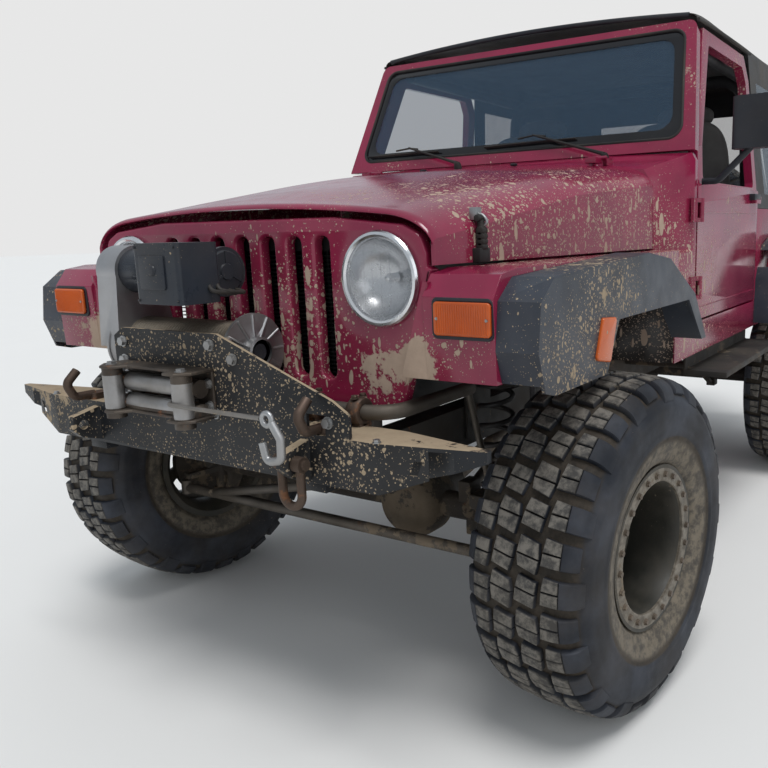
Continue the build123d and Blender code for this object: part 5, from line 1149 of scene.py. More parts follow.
class TyreShape:
    """The tyre's surface, unrolled: s runs from the crown out over a sidewall, u runs round the tread."""

    def __init__(self) -> None:
        """Samples the half section finely and measures the way along it and its outward direction."""
        line = smooth_path(TYRE_PROFILE, 8)[:, :2]
        run = np.linalg.norm(np.diff(line, axis=0), axis=1)
        along = np.gradient(line, axis=0)
        along /= np.linalg.norm(along, axis=1, keepdims=True)
        self.way = np.concatenate([[0.0], np.cumsum(run)])
        self.line = line
        self.out = np.stack([along[:, 1], -along[:, 0]], axis=1)
        self.out[0] = (1.0, 0.0)

    def at(self, s: Array, u: Array, height: Array) -> Array:
        """Points over the surface.

        Each point is the section's point at |s| pushed along its outward direction by the height, then turned
        about the axle by u / tyre radius.

        Args:
            s: Way from the crown in millimetres, negative on the inner side.
            u: Way round the tread in millimetres.
            height: Height over the surface.

        Returns:
            The points, with the axle along Y.
        """
        side, way = np.where(s < 0, -1.0, 1.0), np.abs(s)
        radius, offset = (np.interp(way, self.way, self.line[:, k]) for k in (0, 1))
        out_r, out_y = (np.interp(way, self.way, self.out[:, k]) for k in (0, 1))
        radius = radius + height * out_r
        angle = u / TYRE_R
        across = side * (offset + height * out_y)
        return np.stack([radius * np.cos(angle), across, radius * np.sin(angle)], axis=-1)

    def carcass(self, steps: int = 168) -> Patch:
        """The body of the tyre: groove floor under the tread, sidewalls with raised rings, and the bead.

        Args:
            steps: How many steps round.

        Returns:
            The body, marked by zone: 0 tread floor, 0.4 shoulder, -1 wall.
        """
        end = self.way[-1]
        way = np.concatenate([np.linspace(0, 190, 24), np.linspace(196, end, 26)])
        fade = np.clip((way - 146) / 54, 0, 1)
        height = -TREAD_DEPTH * (1 - fade**2 * (3 - 2 * fade))
        for centre, width, rise in ((206.0, 4.0, -1.2), (258.0, 7.0, 2.2), (300.0, 3.0, 1.2)):
            height += rise * np.exp(-(((way - centre) / width) ** 2))
        zone = np.interp(way, [0, 150, 185, 262, 292, end], [0, 0, 0.4, 0.4, -1, -1])
        s = np.concatenate([-way[::-1], way[1:]])
        height = np.concatenate([height[::-1], height[1:]])
        zone = np.concatenate([zone[::-1], zone[1:]])
        u = np.arange(steps) / steps * 2 * math.pi * TYRE_R
        grid = self.at(s[:, None] + 0 * u, u[None] + 0 * s[:, None], height[:, None] + 0 * u)
        patch = sheet_patch(grid, wrap_rows=True, wrap_columns=True)
        return Patch(patch.points, patch.faces, np.repeat(zone, steps))

    def blocks(self, corners: Array, depth: float, rows: int, drop: float = 0.0) -> Patch:
        """Raised blocks with chamfered edges.

        Args:
            corners: Four corners (s, u) of each block, shape (count, 4, 2).
            depth: How far the blocks' sides reach down.
            rows: How many rows of points cross a block along s, to follow the shoulder.
            drop: How much lower a block's far end stands than its near end.

        Returns:
            All the blocks, their tops marked 1 and their feet 0.
        """
        a, b = np.meshgrid(np.linspace(0, 1, rows), np.linspace(0, 1, 3), indexing="ij")
        rim = [(i, 0) for i in range(rows)] + [(rows - 1, 1)]
        rim += [(i, 2) for i in reversed(range(rows))] + [(0, 1)]
        rim_at = np.array([i * 3 + j for i, j in rim])
        c = corners[:, None, None]
        long_a = np.linalg.norm(corners[:, 1] - corners[:, 0], axis=1)[:, None, None]
        long_b = np.linalg.norm(corners[:, 3] - corners[:, 0], axis=1)[:, None, None]

        def spot(inset: float) -> tuple[Array, Array]:
            """Places over the block, drawn in from its edges, and the share along s.

            Args:
                inset: How far it is drawn in.

            Returns:
                The places (s, u) and the share.
            """
            aa = 0.5 + (a - 0.5) * (1 - 2 * inset / long_a)
            bb = 0.5 + (b - 0.5) * (1 - 2 * inset / long_b)
            aa, bb = aa[..., None], bb[..., None]
            flat = (1 - bb) * ((1 - aa) * c[..., 0, :] + aa * c[..., 1, :])
            return flat + bb * ((1 - aa) * c[..., 3, :] + aa * c[..., 2, :]), aa[..., 0]

        count, top = len(corners), rows * 3
        levels = []
        for inset, height in ((1.8, 0.0), (0.0, -2.0), (-1.4, -depth)):
            place, share = spot(inset)
            level = self.at(place[..., 0], place[..., 1], height - drop * share)
            levels.append(level.reshape(count, top, 3))
        points = np.concatenate([levels[0], levels[1][:, rim_at], levels[2][:, rim_at]], axis=1)
        loop = np.arange(len(rim))
        after = (loop + 1) % len(rim)
        first, second = top + loop, top + len(rim) + loop
        one = np.concatenate([
            grid_faces(rows, 3, False, False)[:, ::-1],
            np.stack([rim_at[loop], first, top + after, rim_at[after]], axis=1),
            np.stack([first, second, top + len(rim) + after, top + after], axis=1),
        ])
        size = points.shape[1]
        quads = (one[None] + np.arange(count)[:, None, None] * size).reshape(-1, 4)
        on_tread = np.abs(corners[0, :, 0]).max() < TREAD_EDGE
        high, edge, foot = (1.0, 0.85, 0.02) if on_tread else (0.5, 0.5, 0.2)
        mark = np.concatenate([np.full(top, high), np.full(len(rim), edge), np.full(len(rim), foot)])
        return Patch(points.reshape(-1, 3), [quads[:, ::-1]], np.tile(mark, count))

    def tread(self) -> Patch:
        """Two staggered middle rows, and shoulder rows whose blocks run down the sidewall, long and short.

        Returns:
            All the blocks.
        """
        pitch = 2 * math.pi * TYRE_R / PITCHES
        # The corners' s and u for one pitch; a thin sipe parts each block in two
        middle = [
            [(4, 2), (52, -8), (56, 20), (7, 29)], [(7, 33), (56, 24), (59, 50), (14, 60)],
            [(10, 80), (54, 68), (60, 97), (5, 105)], [(5, 109), (60, 101), (56, 134), (10, 145)],
        ]
        shoulder = [
            [(70, 6), (110, 4), (110, 31), (71, 33)], [(71, 37), (110, 35), (110, 62), (76, 66)],
            [(66, 90), (110, 88), (110, 114), (68, 116)], [(68, 120), (110, 118), (110, 144), (72, 150)],
        ]
        shoulder_long = [[(111.5, 4), (180, 0), (180, 60), (111.5, 62)]]
        shoulder_short = [[(111.5, 88), (160, 86), (160, 142), (111.5, 144)]]
        turn = np.arange(PITCHES)[:, None, None, None] * np.array([0.0, pitch])

        def spread_round(units: list[list[tuple[float, float]]], side: int, offset: float) -> Array:
            """The blocks of one pitch set out round one side of the tread, turned on by the offset."""
            corners = np.array(units, float)[None] + turn + np.array([0.0, offset])
            return (corners * side).reshape(-1, 4, 2)

        kinds = (
            (middle, TREAD_DEPTH + 1, 3, 0.0), (shoulder, TREAD_DEPTH, 4, 0.0),
            (shoulder_long, TREAD_DEPTH, 9, 3.5), (shoulder_short, TREAD_DEPTH, 7, 5.0),
        )
        return joined([
            self.blocks(spread_round(units, side, offset), depth, rows, drop)
            for side, offset in ((1, 0.0), (-1, pitch * 0.27)) for units, depth, rows, drop in kinds
        ])

    def whole(self) -> Patch:
        """The finished tyre, its outer side towards Y."""
        return self.carcass() + self.tread()


DISC_FACE = -18.0
RING_FACE = 130.8
SLOTS = 8
RING_BOLTS, RING_BOLT_R = 24, 183.0
WHEEL_NUTS, WHEEL_NUT_R = 5, 57.15


def rim_patch() -> Patch:
    """A deep alloy rim: lips, barrel, bolted outer ring, and a disc with eight slots and five wheel nuts.

    Returns:
        The rim, its outer side towards Y, each part with a mark of its own.
    """
    barrel = lathe([
        (189.5, -118), (189.5, -100), (166, -72), (166, 72), (189.5, 100), (189.5, 118), (206, 124),
        (207, 130.5),
        (199, 131), (186, 128), (176, 127), (166, 124), (160, 112), (157, 80), (157, -78), (170, -112),
        (188, -130),
        (207, -130.5), (206, -124),
    ], 96)
    ring = lathe([(203, 126), (204, 130), (200, RING_FACE), (168, RING_FACE), (165, 128.5), (165, 122)], 96)
    hub = lathe([
        (36.5, DISC_FACE - 34), (36.5, DISC_FACE - 8), (44, DISC_FACE - 2), (84, DISC_FACE - 20),
        (104, DISC_FACE),
        (104, DISC_FACE - 12), (86, DISC_FACE - 33),
    ], 64)
    edge = lathe([(148, DISC_FACE - 12), (148, DISC_FACE), (159, DISC_FACE + 2), (159, DISC_FACE - 14)], 64)
    # A spoke between two slots is a slab from hub to edge, narrowest half way along
    radii = np.array([102.0, 112.0, 128.0, 142.0, 150.0])[:, None]
    across = np.radians([-13.5, -9.0, 0.0, 9.0, 13.5]) * np.array([1.0, 0.78, 0.68, 0.78, 1.0])[:, None]
    level = np.full((5, 5), DISC_FACE) - 1.5 * np.abs(np.linspace(-1, 1, 5))
    spokes = []
    for index in range(SLOTS):
        angle = math.radians(360 / SLOTS * (index + 0.5)) + across
        face = np.stack([radii * np.cos(angle), radii * np.sin(angle), level], axis=-1)
        back = face + np.array([0, 0, -12.0])
        loop = np.concatenate([face, back[:, ::-1]], axis=1)
        spokes.append(sheet_patch(loop, wrap_columns=True, caps=True))
    cap = lathe([(AXIS_R, -4), (24, -5), (33, -9), (36, -20)], 40, False).moved(0, 0, DISC_FACE)
    nut = lathe([(AXIS_R, 20), (8, 20), (10.5, 15), (12, 0), (AXIS_R, 0)], 6, False)
    bolts = [hex_bolt(12.0, 7.0).moved(u, v, RING_FACE) for u, v in round_about(RING_BOLTS, RING_BOLT_R)]
    nuts = [nut.moved(u, v, DISC_FACE - 24) for u, v in round_about(WHEEL_NUTS, WHEEL_NUT_R)]
    disc = joined([hub, edge, cap, *spokes])
    zones = ((barrel, 0.0), (ring, 0.8), (disc, 0.2), (joined(bolts), 1.0), (joined(nuts), 0.6))
    return joined([patch.marked(mark) for patch, mark in zones]).turned((1, 0, 0), -90)


@dataclass
class Wheel:
    """A wheel: its nodes' name, body, middle, outward side, kingpin, and whether the tailgate carries it."""

    name: str
    body: str
    middle: Point
    outward: int = 1
    kingpin: float | None = None
    on_tail: bool = False

    def seated(self, patch: Patch) -> Patch:
        """A wheel's patch, drawn with its outer side towards Y, put in its place.

        Args:
            patch: The patch.

        Returns:
            The patch in its place.
        """
        placed = patch if self.outward > 0 else patch.mirrored()
        if self.on_tail:
            placed = placed.turned((0, 0, 1), 90)
        placed = placed.moved(*self.middle)
        if self.kingpin is not None:
            placed = placed.turned((0, 0, 1), math.degrees(REST_TURN), (0, self.kingpin, 0))
        return placed

    def build(self, tyre: Patch, rim: Patch) -> None:
        """Makes the tyre and the rim in place of the frame's plain ones.

        Args:
            tyre: The tyre, drawn at the origin.
            rim: The rim, drawn at the origin.
        """
        rubber = build(f"{self.name}_tyre_tread", self.seated(tyre), TYRE_RUBBER, self.body)
        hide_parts(f"{self.name}_tyre")
        metal = build(f"{self.name}_rim_bolted", self.seated(rim), RIM_ALLOY, self.body, Refine(crease=30))
        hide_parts(f"{self.name}_rim")


@dataclass
class Wheels:
    """The four wheels and the spare."""

    wheels: list[Wheel] = field(default_factory=lambda: [
        Wheel("front_left", "wheel_front_left", (0, HALF_TRACK, TYRE_R), 1, KINGPIN_Y),
        Wheel("front_right", "wheel_front_right", (0, -HALF_TRACK, TYRE_R), -1, -KINGPIN_Y),
        Wheel("rear_left", "wheel_rear_left", (-WHEELBASE, HALF_TRACK, TYRE_R), 1),
        Wheel("rear_right", "wheel_rear_right", (-WHEELBASE, -HALF_TRACK, TYRE_R), -1),
        Wheel("spare", "tailgate", SPARE_MIDDLE, 1, None, True),
    ])

    def build(self) -> None:
        """Makes every wheel from one tyre and one rim."""
        tyre, rim = TyreShape().whole(), rim_patch()
        for wheel in self.wheels:
            wheel.build(tyre, rim)


# Front of the body


def front_face(patch: Patch, x: float) -> Patch:
    """A plate drawn in Y and Z stood up to look forward, its middle at x."""
    return Patch(patch.points[:, [2, 0, 1]] + np.array([x, 0.0, 0.0]), patch.faces, patch.mark)


def circle(u: float, v: float, radius: float, steps: int = 48) -> Array:
    """A round ring of points."""
    angle = np.linspace(0, 2 * math.pi, steps, endpoint=False)
    return np.stack([u + radius * np.cos(angle), v + radius * np.sin(angle)], axis=1)


def both(patch: Patch) -> Patch:
    """A patch and its mirror image across the middle plane."""
    return patch + patch.mirrored()


@dataclass
class Hood:
    """The pressed hood: flat sides up to a crease, round shoulders, a crowned top and a rolled nose."""

    # x, seam half-width, shoulder y, shoulder z, middle z
    stations: Array = field(default_factory=lambda: np.array([
        (-692, 665, 641, 1379, 1418), (-200, 626, 600, 1337, 1376), (200, 597, 570, 1268, 1311),
        (388, 585, 560, 1238, 1275), (414, 584, 557, 1225, 1261),
    ], float))
    foot: float = 1128.5
    nose: float = 388.0
    roll: float = 26.0

    def section(self, x: float) -> Array:
        """The left half of a cross-section, from the seam to the middle line.

        The shoulder is the curve (1-t)^2 A + 2t(1-t) B + t^2 C from the crease A past the corner B to C, and
        the top is the same kind of curve from C, through the crown's control point, to the middle.

        Args:
            x: Where the section is cut.

        Returns:
            Its points (y, z), shape (count, 2).
        """
        at = self.stations
        seam, corner_y, corner_z, top = (np.interp(x, at[:, 0], at[:, k]) for k in range(1, 5))
        if x > self.nose:
            drop = 1 - math.sqrt(max(0.0, 1 - ((x - self.nose) / self.roll) ** 2))
            corner_z, top = (at[3, k] + (at[4, k] - at[3, k]) * drop for k in (3, 4))
        crease = np.array([seam - 2, corner_z - 52])
        corner = np.array([corner_y, corner_z])
        over = np.array([corner_y - 95, corner_z + 0.36 * (top - corner_z)])
        t = np.linspace(0, 1, 9)[1:, None]
        shoulder = (1 - t) ** 2 * crease + 2 * t * (1 - t) * corner + t**2 * over
        control = np.array([corner_y * 0.42, top])
        t = np.linspace(0, 1, 15)[1:, None]
        crown = (1 - t) ** 2 * over + 2 * t * (1 - t) * control + t**2 * np.array([0.0, top])
        side = np.linspace([seam, self.foot], crease, 5)
        return np.vstack([side, shoulder, crown])

    def build(self) -> None:
        """Makes the skin and its hinge leaves."""
        nose, roll = self.nose, self.roll
        xs = np.concatenate([
            np.linspace(self.stations[0, 0], nose, 30),
            nose + roll * np.sin(np.linspace(0, math.pi / 2, 7)[1:]),
        ])
        rows = []
        for x in xs:
            half = self.section(float(x))
            full = np.vstack([half, (half * [-1, 1])[-2::-1]])
            rows.append(np.column_stack([np.full(len(full), x), full]))
        skin = sheet_patch(np.array(rows))
        lift = skin.points[skin.faces[0]]
        if np.cross(lift[0, 2] - lift[0, 0], lift[0, 3] - lift[0, 1])[1] < 0:
            skin = Patch(skin.points, [f[:, ::-1] for f in skin.faces])
        shell = build("hood_skin", skin, PAINT, "hood", Refine(wall=7, crease=22))
        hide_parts("hood")
        leaves = []
        for y in (-470.0, 470.0):
            leaves.append(box_patch((-694, y - 18, 1404), (-636, y + 18, 1423)))
            leaves.append(tube([(-696, y - 18, 1423), (-696, y + 18, 1423)], 7, 16))
            leaves.append(spread(hex_bolt(9, 5), [(-664, y, 1423)], (0, 0, 1)))
        build("hood_hinge_leaves", joined(leaves), PAINT, "hood", Refine(bevel=1.5))


@dataclass
class Grille:
    """The stamped grille with seven slots and two lamp openings, the lamps, and the finned core behind it."""

    lamp_y: float = 436.0
    lamp_z: float = 1098.0
    face: float = 412.0
    slot_pitch: float = 88.0
    core_back: float = 312.0
    core_front: float = 377.0

    def panel(self) -> None:
        """The grille's panel, its slot edges rolled inwards."""
        half = [
            (480, 799, 22), (574, 1120, 4), (561, 1126, 2), (561, 1152, 22), (545, 1194, 34), (500, 1216, 40),
            (300, 1236, 160),
        ]
        corners = half + [(-u, v, r) for u, v, r in reversed(half)]
        middles = np.arange(-3, 4) * self.slot_pitch
        holes = [rounded_box((y - 23, 860), (y + 23, 1194), 20) for y in middles]
        holes += [circle(y, self.lamp_z, 98) for y in (-self.lamp_y, self.lamp_y)]
        panel = plate(rounded_ring(corners), holes, 34, 8, 3)
        shell = build("grille_panel", front_face(panel, self.face - 17), PAINT, "vehicle", Refine(crease=50))
        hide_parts("grille_shell")

    def lamps(self) -> None:
        """Two round headlamps: trim ring, bowl, bulb and clear domed lens."""
        ring = lathe([
            (97, -10), (103, -2), (106.4, 1), (106.6, 7), (103, 12.5), (97, 14), (92, 10), (90.5, 2),
            (90, -12),
        ], 64)
        bowl = lathe([
            (AXIS_R, -62), (30, -58), (60, -43), (80, -18), (88, 4), (91, 2), (84, -22), (64, -48), (32, -64),
            (AXIS_R, -68),
        ], 48, False)
        bulb = lathe([(AXIS_R, -20), (7, -22), (11, -30), (11, -56), (AXIS_R, -58)], 20, False)
        lens = lathe([
            (AXIS_R, 24), (30, 22.5), (60, 17), (80, 10), (90, 3), (90, 0), (79, 6.5), (59, 13.5), (30, 19),
            (AXIS_R, 20.5),
        ], 48, False)
        bar = tube([(-62, 0, 0), (62, 0, 0)], 1.0, 6)
        ribs = [bar.moved(0, v, 14.5 - 0.0016 * v * v) for v in (-36, -12, 12, 36)]

        def seated(parts: list[Patch]) -> Patch:
            """Both lamps' parts, turned to look forward and put in the openings."""
            turned = joined(parts).turned((0, 1, 0), 90)
            return both(turned.moved(self.face, self.lamp_y, self.lamp_z))

        bowls = build("headlamp_bowls", seated([ring, bowl, bulb]), LAMP_METAL, "vehicle", Refine(crease=35))
        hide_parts("headlamps")
        build("headlamp_lenses", seated([lens, *ribs]), LAMP_GLASS, "vehicle", Refine(crease=35))

    def core(self) -> None:
        """The radiator core: two tanks and a stack of fine fins between them."""
        back, front = self.core_back, self.core_front
        parts = [box_patch((back, -298, z0), (front, 298, z1)) for z0, z1 in ((1160, 1196), (819, 850))]
        fins, stays = np.arange(856, 1156, 10.0), np.arange(-280, 281, 40.0)
        parts += [box_patch((back + 8, -300, z), (front - 4, 300, z + 2.5)) for z in fins]
        parts += [box_patch((back + 10, y - 4, 850), (front - 10, y + 4, 1160)) for y in stays]
        core = build("radiator_core_fins", joined(parts), RADIATOR_CORE, "vehicle")
        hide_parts("radiator")

    def build(self) -> None:
        """Makes the whole front panel."""
        self.panel()
        self.lamps()
        self.core()


@dataclass
class FrontLamps:
    """Amber turn signals in their frames, side markers on the flares, and the red tail lamps."""

    low: tuple[float, float] = (611.0, 988.0)
    high: tuple[float, float] = (749.0, 1058.0)
    flare_y: float = 850.0

    def signal(self) -> Patch:
        """One signal's lens with its vertical ribs.

        Returns:
            The left lens.
        """
        lens = front_face(plate(rounded_box(self.low, self.high, 9), [], 8, 3), 461.5)
        ribs = [tube([(465.2, y, 993), (465.2, y, 1053)], 1.8, 8) for y in np.arange(619, 743, 5.6)]
        return joined([lens, *ribs])

    def build(self) -> None:
        """Makes all the small lamps."""
        lens = build("turn_signals", both(self.signal()), AMBER, "vehicle", Refine(crease=30))
        opening = rounded_box(self.low, self.high, 9)
        frame_ring = plate(rounded_box((603, 980), (751, 1066), 13), [opening], 9, 1.5)
        build("signal_frames", both(front_face(frame_ring, 453)), TRIM_PLASTIC, "vehicle", Refine(crease=30))
        screws = spread(hex_bolt(5, 2), [(466, 620, 1023), (466, 741, 1023)], (1, 0, 0))
        build("signal_screws", both(screws), ZINC_STEEL, "vehicle")
        outline = rounded_ring([(186, 907, 9), (149, 1000, 9), (70, 994, 9), (107, 892, 9)])
        body = plate(outline, [], 9, 3)
        marker = Patch(body.points[:, [0, 2, 1]], body.faces).moved(0, self.flare_y + 2.8, 0).outward()
        build("side_markers", both(marker), AMBER, "vehicle", Refine(crease=30))
        tail = both(box_patch((-3039, 557, 1012), (-3001, 663, 1158)))
        lamps = build("tail_lamps", tail, RED_LENS, "vehicle", Refine(bevel=7, bevel_steps=3))
        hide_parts("signal_lamps")
        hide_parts("signal_lamps")


SCREEN_FOOT = np.array([-868.0, 0.0, 1446.0])
SCREEN_LEAN, SCREEN_RISE = 188.0, 450.0
SCREEN_WAY = 487.69


def along_screen(patch: Patch) -> Patch:
    """A plate laid on the leaning windscreen.

    Args:
        patch: The plate, drawn in Y, the way up the screen and the height over it.

    Returns:
        The plate in its place.
    """
    up = np.array([-SCREEN_LEAN, 0, SCREEN_RISE]) / SCREEN_WAY
    out = np.array([SCREEN_RISE, 0, SCREEN_LEAN]) / SCREEN_WAY
    p = patch.points
    placed = SCREEN_FOOT + p[:, 1:2] * up + p[:, 2:3] * out
    placed[:, 1] = p[:, 0]
    return Patch(placed, patch.faces, patch.mark).outward()


@dataclass
class Screen:
    """The windscreen's black border, the rubber round it, and two wipers with their arms and blades."""

    def border(self) -> None:
        """The printed border and the rubber seal over the frame's edge."""
        outer = [(-692, 44, 46), (692, 44, 46), (646, 458, 46), (-646, 458, 46)]
        inner = [(-652, 82, 52), (652, 82, 52), (611, 424, 52), (-611, 424, 52)]
        ring = plate(rounded_ring(outer, 10), [rounded_ring(inner, 10)], 1.6, 0.4, 1)
        border = along_screen(ring.moved(0, 0, -4.0))
        build("screen_border", border, BLACK_GLASS, "vehicle", Refine(crease=30))
        rubber_path = rounded_ring([(-690, 46, 46), (690, 46, 46), (644, 456, 46), (-644, 456, 46)], 10)
        seal = np.column_stack([rubber_path, np.full(len(rubber_path), -2.0)])
        loop = tube(np.vstack([seal, seal[:2]]), 5.5, 8)
        build("screen_seal", along_screen(loop), RUBBER_TRIM, "vehicle")

    def wiper(
        self, pivot: Point, tip: tuple[float, float], low: tuple[float, float], high: tuple[float, float],
    ) -> Patch:
        """One wiper: spindle and cap, bent flat arm, bridge and blade.

        Args:
            pivot: The spindle's place.
            tip: Where the arm meets the blade, as y and the way up the screen.
            low: One end of the blade, in the same way.
            high: Its other end.

        Returns:
            The whole wiper.
        """
        def spot(y: float, way: float, off: float) -> Array:
            """A place over the screen."""
            return along_screen(Patch(np.array([[y, way, off]]), [np.zeros((0, 3), int)])).points[0]

        hub = lathe([(AXIS_R, 26), (9, 25), (13, 18), (15, 0), (AXIS_R, 0)], 20, False)
        hub = hub.aimed((0.35, 0, 1)).moved(*pivot)
        top = np.array(pivot) + np.array([8, 0, 20])
        elbow = spot(pivot[1] * 0.75 + tip[0] * 0.25, 12, 26)
        arm_line = smooth_path([tuple(top), tuple(elbow), tuple(spot(*tip, 22))], 8)
        arm = tube(arm_line, np.linspace(7.5, 4.2, len(arm_line)), 8)
        middle = spot(*tip, 18)
        bridge = [spot(*low, 12) * 0.3 + middle * 0.7, middle, spot(*high, 12) * 0.3 + middle * 0.7]
        spine = [spot(*low, 9), (spot(*low, 12) + spot(*high, 12)) / 2, spot(*high, 9)]
        lip = [spot(*low, 2), (spot(*low, 2) + spot(*high, 2)) / 2, spot(*high, 2)]
        return joined([hub, arm, tube(bridge, 3.6, 8), tube(spine, 3.2, 8), tube(lip, 2.2, 6)])

    def build(self) -> None:
        """Makes the border, the seal and the wipers."""
        self.border()
        near = self.wiper((-800, 452, 1424), (128, 92), (-84, 66), (300, 72))
        far = self.wiper((-800, -150, 1430), (-440, 84), (-660, 66), (-300, 66))
        build("wipers", near + far, RUBBER_TRIM, "vehicle", Refine(crease=40))
        nozzles = [box_patch((-640, y - 9, 1411), (-618, y + 9, 1420)) for y in (-190.0, 190.0)]
        build("washer_nozzles", joined(nozzles), TRIM_PLASTIC, "hood", Refine(bevel=3))


# Winch and recovery gear


@dataclass
class Winch:
    """The winch's dress: wound rope, case bolts, motor cap, box cover, roller sleeves and sway clamps."""

    drum_x: float = 508.0
    drum_z: float = 930.0
    motor_x: float = 522.0
    motor_z: float = 1117.0
    plate_face: float = 610.2
    roller_x: float = 673.3
    roller_ys: tuple[float, float] = (-184.0, 68.0)

    def drum(self) -> None:
        """The drum with its rope wound in turns.

        The radius at y is 64 + 6 |cos(pi y / 10)|, one rounded bump for each turn of 10 mm.
        """
        y = np.arange(-261.0, 117.0, 1.25)
        radius = 64 + 6 * np.abs(np.cos(math.pi * y / 10))
        profile = [(AXIS_R, y[0])] + list(zip(radius, y)) + [(AXIS_R, y[-1])]
        wound = lathe(profile, 56, False).turned((1, 0, 0), -90).moved(self.drum_x, 0, self.drum_z)
        piece = build("winch_drum_rope", wound, ROPE_STEEL, "vehicle", Refine(crease=70))
        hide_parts("winch_drum")

    def case_details(self) -> None:
        """The gear case's band and bolts, and the hub and cap at the drum's free end."""
        band = lathe([(92, -3), (94.5, -2), (94.5, 2), (92, 3)], 64).turned((1, 0, 0), 90)
        places = [(self.motor_x + u, -340, self.motor_z + v) for u, v in round_about(8, 54, 0.3)]
        places += [(self.drum_x + u, -310, self.drum_z + v) for u, v in round_about(8, 78)]
        case = band.moved(self.drum_x, -300, self.drum_z) + spread(hex_bolt(8, 5), places, (0, -1, 0))
        build("winch_case_bolts", case, CAST_GREY, "vehicle", Refine(crease=30))
        hub = lathe([(30, 0), (36, 0), (36, 20), (30, 22)], 36).turned((1, 0, 0), -90)
        build("drum_hub", hub.moved(self.drum_x, 128, self.drum_z), CAST_GREY, "vehicle")
        cap = lathe([(AXIS_R, 0), (30, 0), (30, -9), (27, -12), (AXIS_R, -12)], 36, False)
        cap = cap.turned((1, 0, 0), -90).moved(self.drum_x, 142, self.drum_z)
        build("drum_hub_cap", cap, TRIM_PLASTIC, "vehicle")

    def motor_details(self) -> None:
        """Motor cap with its ribs, the control box's raised cover, boss and screws, and two short leads."""
        cap = lathe([
            (AXIS_R, 9), (18, 9), (20, 5), (46, 5), (50, 2), (57.5, 2), (58.5, -6), (AXIS_R, -6),
        ], 48, False)
        cap = cap.turned((1, 0, 0), -90).moved(self.motor_x, 64, self.motor_z)
        rib = box_patch((-3, 0, 18), (3, 6, 48))
        ribs = [rib.turned((0, 1, 0), turn).moved(self.motor_x, 66, self.motor_z) for turn in (0, 120, 240)]
        cover = front_face(plate(rounded_box((-22, 1086), (62, 1160), 6), [], 5, 1.5), 683.5)
        boss = lathe([(AXIS_R, 6), (9, 5.5), (12, 3), (13, 0), (AXIS_R, 0)], 24, False)
        boss = boss.aimed((1, 0, 0)).moved(685, 22, 1128)
        screws = spread(hex_bolt(5, 3), [(682, y, z) for y in (-36, 96) for z in (1062, 1178)], (1, 0, 0))
        motor = joined([cap, *ribs, cover, boss, screws])
        build("winch_motor_cap", motor, MOTOR_BLACK, "vehicle", Refine(crease=32))
        leads = []
        for offset in (0.0, 22.0):
            line = smooth_path([
                (600 - offset, 96, 1096), (604 - offset, 116, 1080), (560 - offset, 118, 1072),
                (530 - offset, 104, 1070), (522 - offset, 72, 1074),
            ], 6)
            leads.append(tube(line, 5.0, 10))
        build("motor_leads", joined(leads), RUBBER_TRIM, "vehicle")

    def plate_bolts(self) -> None:
        """Bolts through the upright plate, the fairlead's flange bolts and the roller pins' heads."""
        spots = ((-222, 950), (-222, 905), (96, 958), (96, 800), (168, 930), (440, 815))
        big = spread(hex_bolt(19, 11), [(self.plate_face, y, z) for y, z in spots], (1, 0, 0))
        flange = spread(hex_bolt(17, 10), [(618, y, z) for y in (-205, 89) for z in (818, 870)], (1, 0, 0))
        pins = spread(hex_bolt(18, 7), [(self.roller_x, y, 905) for y in self.roller_ys], (0, 0, 1))
        build("plate_bolts", joined([big, flange, pins]), ZINC_STEEL, "vehicle", Refine(crease=30))

    def rollers(self) -> None:
        """Worn bright sleeves on the fairlead's two level and two upright rollers, narrower at their ends."""
        def sleeve(radius: float, half: float) -> Patch:
            """A roller's sleeve, from its radius and half its length."""
            line = [(radius - 2.5, -half), (radius, -half + 4), (radius + 0.4, -half * 0.4)]
            return lathe([*line, *[(r, -h) for r, h in reversed(line)]], 32, False)

        upright = [sleeve(23.2, 44).moved(self.roller_x, y, 840) for y in self.roller_ys]
        level = [sleeve(21.3, 104).turned((1, 0, 0), 90).moved(642.3, -58, z) for z in (812.0, 862.0)]
        build("fairlead_rollers", joined([*upright, *level]), ROLLER_STEEL, "vehicle", Refine(crease=30))

    def sway_clamps(self) -> None:
        """The sway bar's clamps with their rubber bushes, at both ends of its cross run."""
        collar = lathe([(17.5, -16), (30, -16), (32, -12), (32, 12), (30, 16), (17.5, 16)], 32)
        collar = collar.turned((1, 0, 0), 90)
        parts = []
        for y in (300.0, 430.0):
            parts.append(collar.moved(500, y, 815))
            parts.append(box_patch((480, y - 16, 770), (520, y + 16, 790)))
            parts.append(spread(hex_bolt(13, 8), [(486, y, 846), (514, y, 846)], (0, 0, 1)))
        build("sway_clamps", both(joined(parts)), RUSTY_STEEL, "vehicle", Refine(bevel=2, crease=32))

    def build(self) -> None:
        """Makes every piece of the winch's dress."""
        self.drum()
        self.case_details()
        self.motor_details()
        self.plate_bolts()
        self.rollers()
        self.sway_clamps()


# Suspension


